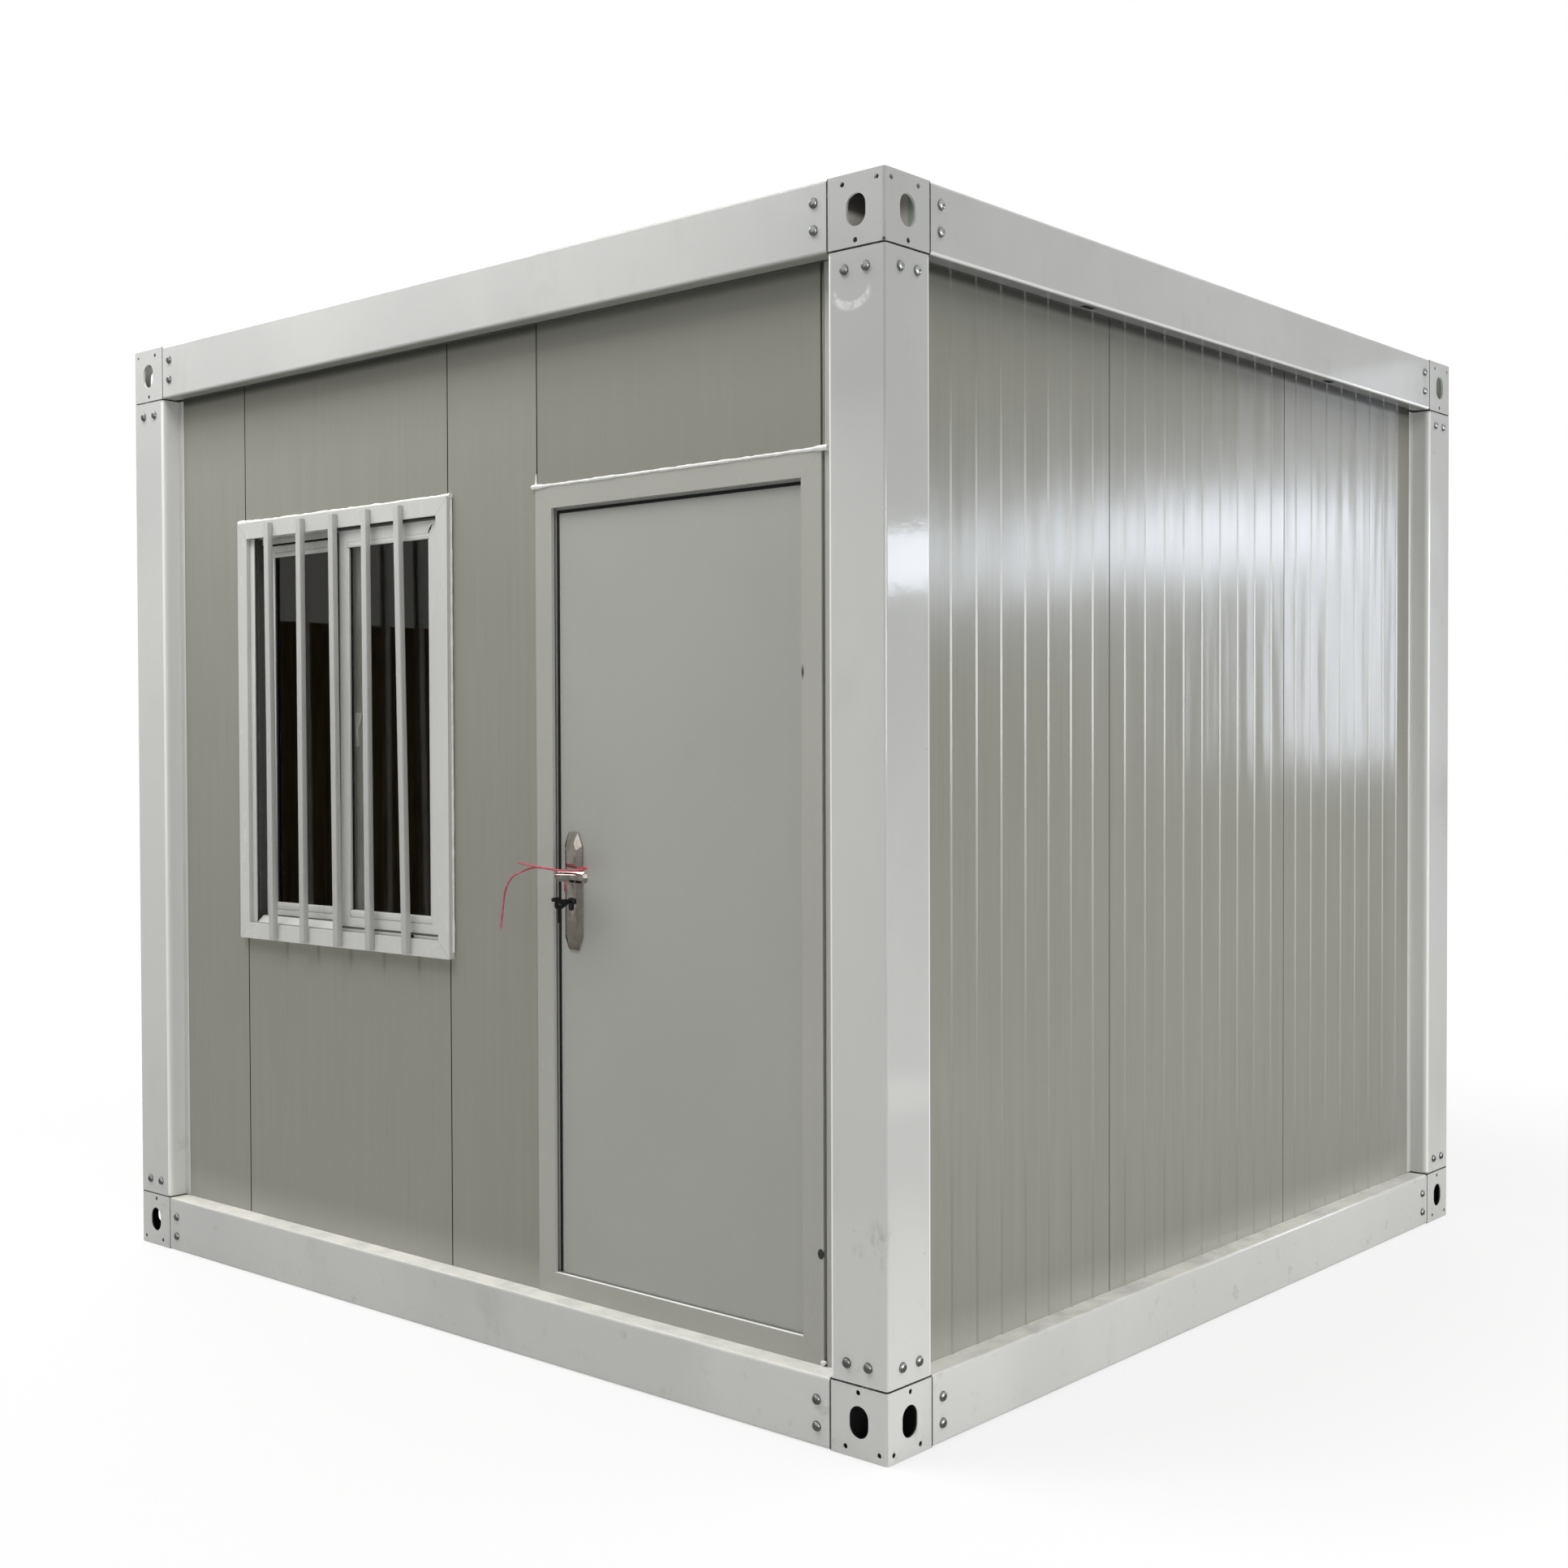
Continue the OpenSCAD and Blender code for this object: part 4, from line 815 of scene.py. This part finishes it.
# How far each bar's head and foot stand off its middle line, in mm
BAR_LEAN = ((-10, 2.5), (-4.5, 0), (-2.6, 7.5), (-3.7, 2), (-13, 11))
BAR_FOOT, BAR_HEAD = 0.995, 2.222
window_low, window_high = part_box("window_frame")
left_low, left_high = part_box("window_sash_left")
right_low, right_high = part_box("window_sash_right")
# The opening inside the window's frame
LIGHT_LOW = window_low + Vector((WINDOW_FACE, 0, WINDOW_FACE))
LIGHT_HIGH = window_high - Vector((WINDOW_FACE, 0, WINDOW_FACE))


def window_bars():
    """Upright bars on the face of the window's frame, each leaning a little."""
    front = window_low.y
    for k, (x, lean) in enumerate(zip(BAR_X, BAR_LEAN)):
        bar = block(f"bar_{k}", (x - BAR_W / 2, front - BAR_D, BAR_FOOT),
                    (x + BAR_W / 2, front, BAR_HEAD), 0.0022, 3)
        for end, shift in zip((BAR_HEAD, BAR_FOOT), lean):
            bpy.ops.object.mode_set(mode="EDIT")
            pick_faces(bar, lambda face: abs(face.calc_center_median().z - end) < 0.003)
            bpy.ops.transform.translate(value=(shift * MM, 0, 0))
            bpy.ops.object.mode_set(mode="OBJECT")
        fit(bar, BAR_AND_SHADE_PLASTIC)


def strip(name, low, high, soft, material=PLASTIC, slot="window_plastic"):
    fit(block(name, low, high, soft), material)


def dark_strip(name, low, high, soft, material=RUBBER):
    strip(name, low, high, soft, material, "key_black")


def window_trim():
    """What the plain sashes and frame lack: stops, a sloped sill, and brush strips and grey plastic
    that also stand for the tracks' shadow lines and shade.
    """
    lx, hx, lz, hz = LIGHT_LOW.x + 0.0003, LIGHT_HIGH.x - 0.0003, LIGHT_LOW.z, LIGHT_HIGH.z
    near, far = right_low.y, left_low.y
    meet = right_low.x
    # the empty half of the outer track
    x0, x1 = lx + 0.023, meet - 0.001
    strip("stop_left", (lx, near - 0.0025, lz + 0.0005),
          (lx + 0.022, near + 0.0005, hz - 0.0005), 0.0008)
    # grey plastic as painted shade in the empty track's head; the black brush strip under it also
    # stands for its shadow line
    strip("track_head", (x0, far - 0.0045, hz - 0.018), (x1, far - 0.0015, hz - 0.0005),
          0.0008, BAR_AND_SHADE_PLASTIC)
    dark_strip("shadow_brush_head_left", (x0, far - 0.0035, hz - 0.024),
               (x1, far - 0.0005, hz - 0.0185), 0.0006)
    sill = block("track_sill", (x0, near, lz + 0.0005), (x1, far - 0.0035, lz + 0.021))
    bpy.ops.object.mode_set(mode="EDIT")
    pick_edges(sill, lambda v: v.y < near + 0.001 and v.z > lz + 0.02)
    bpy.ops.mesh.bevel(offset=0.0185, offset_type="OFFSET", segments=1)
    bpy.ops.object.mode_set(mode="OBJECT")
    fit(sill, PLASTIC)
    # a dark strip over the sill, standing for its shadow line
    dark_strip("shadow_brush_sill_left", (x0, far - 0.0035, lz + 0.0215),
               (x1, far - 0.0005, lz + 0.0245), 0.0006, TRACK_SHADE)
    # the right sash's track
    front = near - 0.0005
    # black and dark grey strips along the meeting stile and the head, standing for the track's
    # shadow lines
    dark_strip("shadow_brush_meeting", (meet - 0.0008, front - 0.003, lz + 0.024),
               (meet + 0.0105, front, hz - 0.012), 0.0008)
    dark_strip("shadow_brush_head_right", (meet, front - 0.002, hz - 0.009),
               (hx, front, hz - 0.0005), 0.0006, TRACK_SHADE)
    dark_strip("shadow_brush_head_edge", (meet, front - 0.003, hz - 0.0035),
               (hx, front - 0.0022, hz - 0.0005), 0.0003)
    # grey plastic as painted shade on the right track's sill; the dark strip over it stands for its
    # shadow line
    strip("track_sill_right", (meet, front - 0.002, lz + 0.0005),
          (hx, front, lz + 0.0085), 0.0008, BAR_AND_SHADE_PLASTIC)
    dark_strip("shadow_brush_sill_right", (meet, front - 0.0015, lz + 0.009),
               (hx, front, lz + 0.0145), 0.0005, TRACK_SHADE)
    # a black bead stands in for the drain hole, its darkness painted shade
    drain = [(x, front - 0.002, lz + 0.005, share)
             for x, share in ((-0.207, 0.6), (-0.202, 1.0), (-0.192, 1.0), (-0.187, 0.6))]
    fit(bead("drain_hole", drain, 0.0075), RUBBER)
    gap = [(x, front + 0.0002, z, share)
           for x, z, share in ((-0.1175, 2.1396, 0.3), (-0.108, 2.152, 1.0), (-0.100, 2.1623, 0.4))]
    fit(bead("mitre_gap", gap, 0.0045), RUBBER)


def glazing_beads():
    """Beads along the rails and stiles of both sashes, where they hold the glass."""
    inset, wide = 0.050, 0.006
    for side, low, high in (("left", left_low, left_high), ("right", right_low, right_high)):
        inner, outer = low.y + 0.0075, low.y - 0.0004
        x0, x1 = low.x + inset, high.x - inset
        z0, z1 = low.z + inset, high.z - inset
        strip(f"bead_foot_{side}", (x0, outer, z0), (x1, inner, z0 + 0.022), 0.0035)
        strip(f"bead_head_{side}", (x0, outer, z1 - 0.015), (x1, inner, z1), 0.0025)
        upright = (x1 - wide,) if side == "left" else (x0, x1 - wide)
        for k, x in enumerate(upright):
            strip(f"bead_{side}_{k}", (x, outer, z0 + 0.0222),
                  (x + wide, inner, z1 - 0.0152), 0.002)


def panel_seams():
    """Black cord in the joints between the front's panels."""
    y0, y1 = FRONT_SKIN - 0.0005, FRONT_SKIN + 0.0015
    foot, top, over = FITTING + 0.002, BEAM_FOOT - 0.001, window_high.z + 0.008
    left, middle, door = -0.9867, -0.0377, 0.3195
    for k, (x, wide, z0, z1) in enumerate((
            (left, 0.0036, foot, window_low.z), (left, 0.0030, over, top),
            (middle, 0.0030, foot, window_low.z), (middle, 0.0030, over, top),
            (door, 0.0032, 2.232, top))):
        dark_strip(f"seam_{k}", (x - wide / 2, y0, z0), (x + wide / 2, y1, z1), 0.0004)
    strip("seam_cover", (1.2748, FRONT_SKIN, 2.2235), (1.2788, FRONT_SKIN + 0.004, 2.6395),
          0.0006, SKIN_FLAT, "wall_skin")


def door_seal_and_shadow_gap():
    """Black rubber on the leaf's face, along its lock side and head, just inside the frame,
    standing in for the shadow gap there.
    """
    low, high = Vector((0.3835, 0, 0.2185)), Vector((1.2065, 0, 2.1605))
    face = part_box("door_leaf")[0].y
    near, far, wide = face - 0.0022, face - 0.0002, 0.008
    side = block("door_seal_and_shadow_gap", (low.x, near, low.z), (low.x + wide, far, high.z - wide), 0.0006)
    head = block("door_seal_and_shadow_gap_head", (low.x, near, high.z - wide), (high.x, far, high.z), 0.0006)
    fit(merge("door_seal_and_shadow_gap", [side, head]), RUBBER, "door")


def gaskets():
    """Black rings that hold the glass, on both faces of each sash's pane."""
    inset, wide = 0.046, 0.009
    for side in ("left", "right"):
        low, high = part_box("window_sash_" + side)
        mid = (low.y + high.y) / 2
        for layer, near, far in (("out", -0.0075, -0.0025), ("in", 0.0025, 0.0075)):
            seal = ring(f"gasket_{side}_{layer}", (low.x + inset, mid + near, low.z + inset),
                        (high.x - inset, mid + far, high.z - inset), wide)
            fit(seal, RUBBER)


def wander(points, amount, seed):
    """Lets a bead's line and thickness waver."""
    luck = random.Random(seed)
    return [(x, y, z + luck.uniform(-amount, amount), share * luck.uniform(0.8, 1.2))
            for x, y, z, share in points]


def run(x0, x1, y, z0, z1, count):
    """Evenly spaced points of a bead along X."""
    return [(x0 + (x1 - x0) * k / count, y, z0 + (z1 - z0) * k / count, 1.0)
            for k in range(count + 1)]


def swollen(points, lumps):
    """Thickens a bead round places on X: each with its rise and its reach."""
    return [(x, y, z, share * (1.0 + sum(rise * math.exp(-((x - at) / reach) ** 2)
                                         for at, rise, reach in lumps)))
            for x, y, z, share in points]


def window_sealant():
    left, right, top = window_low.x, window_high.x, window_high.z
    line = wander(run(left - 0.004, right + 0.004, FRONT_SKIN - 0.006,
                      top + 0.003, top + 0.003, 60), 0.0008, 3)
    line = swollen(line, ((left, 0.9, 0.07), (right, 0.5, 0.03)))
    fit(bead("window_sealant_top", line, 0.0100), SEALANT)
    side = [(right + 0.0015, FRONT_SKIN - 0.004, top - 0.0207 * k, 1.0) for k in range(60)]
    fit(bead("window_sealant_side", wander(side, 0.0005, 4), 0.0065), SEALANT)


def door_sealant():
    low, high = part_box("door_head")
    left, right, top = low.x, high.x, high.z
    line = wander(run(left - 0.012, right + 0.020, FRONT_SKIN - 0.003,
                      top + 0.002, top + 0.004, 64), 0.0004, 5)
    line = swollen(line, ((right + 0.01, 0.7, 0.03), (left, 0.4, 0.03)))
    fit(bead("door_sealant_top", line, 0.0080), SEALANT)
    smear = [(left + 0.001, FRONT_SKIN - 0.001, top + 0.004 + 0.004 * k, 1.0 - 0.09 * k)
             for k in range(9)]
    fit(bead("door_sealant_smear", wander(smear, 0.001, 9), 0.008), SEALANT)
    foot = [(right - 0.002 + 0.002 * k, FRONT_SKIN - 0.004, 0.166 + 0.001 * k, 1.0 - 0.12 * k)
            for k in range(6)]
    fit(bead("door_sealant_foot", foot, 0.014), SEALANT)


window_bars()
gaskets()
window_trim()
glazing_beads()
panel_seams()
door_seal_and_shadow_gap()
window_sealant()
door_sealant()


# Stage

def sky(level):
    """Soft light all round, white where it is seen."""
    world = bpy.data.worlds.new("studio")
    bpy.context.scene.world = world
    world.use_nodes = True
    n = Nodes(world.node_tree)
    soft = n.node("Background", None, {"Color": (0.97, 0.985, 1.0), "Strength": level})
    white = n.node("Background", None, {"Color": (1, 1, 1), "Strength": 1.0})
    both = n.node("MixShader", None, {0: n.seen(), 1: soft, 2: white})
    n.node("OutputWorld", None, {"Surface": both})


def stage_paint(piece, build):
    """A stage piece's material, whose surface build(nodes) gives."""
    material = bpy.data.materials.new(piece.name)
    material.use_nodes = True
    n = Nodes(material.node_tree)
    n.node("OutputMaterial", None, {"Surface": build(n)})
    coat(piece, material)


def ground(white_share):
    """A pale floor that keeps the shadow near the house and runs out into white."""
    bpy.ops.mesh.primitive_plane_add(size=160.0, location=(0, 0, -0.0015))
    floor = bpy.context.object
    floor.name = "studio_floor"

    def surface(n):
        place = n.node("TexCoord", out="Object")
        far = n.node("VectorMath", {"operation": "LENGTH"}, {0: place}, out="Value").step(2.4, 4.6)
        share = n.seen() * (white_share + far * (1.0 - white_share))
        matt = n.node("BsdfDiffuse", None, {"Color": (0.80, 0.80, 0.79)})
        return n.node("MixShader", None, {0: share, 1: matt, 2: n.node("Emission")})

    stage_paint(floor, surface)


def card(name, middle, size, turn, colour, strength):
    """A plain card that shows only in gloss and glass, tipped up from lying flat, then turned."""
    bpy.ops.mesh.primitive_plane_add(size=1.0, location=middle)
    piece = bpy.context.object
    piece.name = name
    piece.scale = (size[0], size[1], 1.0)
    piece.rotation_euler = Euler((math.radians(turn[0]), 0, math.radians(turn[1])))
    stage_paint(piece, lambda n: n.node("Emission", None, {"Color": colour, "Strength": strength}))
    for ray in ("camera", "diffuse", "shadow", "volume_scatter"):
        setattr(piece, "visible_" + ray, False)


def soft_box(name, place, target, size, watts):
    """An area lamp that lights the house but isn't mirrored in it."""
    bpy.ops.object.light_add(type="AREA", location=place)
    lamp = bpy.context.object
    lamp.name = name
    lamp.data.shape = "RECTANGLE"
    lamp.data.size, lamp.data.size_y = size
    lamp.data.energy = watts
    lamp.rotation_euler = (Vector(target) - Vector(place)).to_track_quat("-Z", "Y").to_euler()
    lamp.visible_glossy = False
    lamp.visible_camera = False


bpy.ops.object.select_all(action="DESELECT")
sky(level=0.20)
ground(white_share=0.72)
# Name, place, target, size and watts
LAMPS = [
    ("front_near_left", (-2.4, -3.2, 4.4), (-0.9, -1.5, 1.9), (3.0, 1.5), 47.0),
    ("front_near_mid", (0.0, -2.7, 5.0), (0.0, -1.6, 1.6), (4.0, 1.4), 63.0),
    ("front_steep", (-1.6, -3.4, 7.5), (-0.6, -1.8, 1.0), (7.0, 2.8), 270.0),
    ("right_floor", (3.4, 0.0, 0.12), (1.5, 0.0, 0.5), (5.0, 1.4), 48.0),
    ("right_high", (4.6, 0.5, 6.5), (1.5, 0.0, 0.8), (6.0, 3.0), 168.0),
    ("back_high", (1.0, 5.5, 7.0), (0.0, 1.5, 1.0), (7.0, 3.0), 230.0),
    ("left_high", (-5.5, 0.5, 6.5), (-1.5, 0.0, 0.8), (6.0, 3.0), 210.0),
]
for lamp in LAMPS:
    soft_box(*lamp)
WINDOW_BLUE = (0.84, 0.89, 1.0)
HALL_COLD, HALL_WARM = (0.95, 0.97, 1.0), (1.0, 0.97, 0.92)
UPRIGHT, SIDEWAYS, FLAT = (90, 0), (90, 90), (0, 0)
# The hall that the house mirrors: name, middle, size, turn, colour and strength
CARDS = [
    ("hall_back", (7.0, 9.2, 3.5), (24.0, 7.0), UPRIGHT, (0.84, 0.91, 1.0), 0.32),
    ("hall_window_strip", (7.9, 9.0, 3.215), (5.2, 0.53), UPRIGHT, WINDOW_BLUE, 11.0),
    ("hall_window_tall", (5.27, 8.9, 2.38), (0.86, 1.9), UPRIGHT, WINDOW_BLUE, 7.3),
    ("hall_window_head", (5.45, 9.05, 3.9), (1.2, 0.9), UPRIGHT, WINDOW_BLUE, 1.6),
    ("hall_right", (10.0, -1.0, 3.0), (7.0, 6.0), SIDEWAYS, HALL_COLD, 0.6),
    ("hall_right_window", (9.9, -1.0, 2.37), (7.0, 1.84), SIDEWAYS, HALL_COLD, 13.0),
    ("hall_right_head", (9.9, -1.0, 3.5), (7.0, 0.4), SIDEWAYS, HALL_COLD, 4.0),
    ("hall_right_low", (9.9, -1.0, 0.74), (7.0, 1.4), SIDEWAYS, HALL_COLD, 4.0),
    ("hall_right_floor", (7.0, -1.0, -0.0004), (6.0, 7.0), FLAT, (1.0, 0.98, 0.95), 1.5),
    ("hall_left", (-9.0, -6.0, 3.5), (18.0, 7.0), SIDEWAYS, HALL_WARM, 0.35),
    ("hall_left_dark", (-8.9, -7.8, 1.275), (3.0, 2.55), SIDEWAYS, (1.0, 0.88, 0.62), 0.02),
    ("hall_roof", (-3.4, -1.9, 4.8), (3.4, 2.6), FLAT, (1.0, 0.99, 0.97), 4.0),
    ("hall_floor", (0.0, 0.0, -0.0008), (60.0, 60.0), FLAT, HALL_WARM, 0.22),
]
for row in CARDS:
    card(*row)

bpy.context.scene.view_settings.view_transform = "Standard"
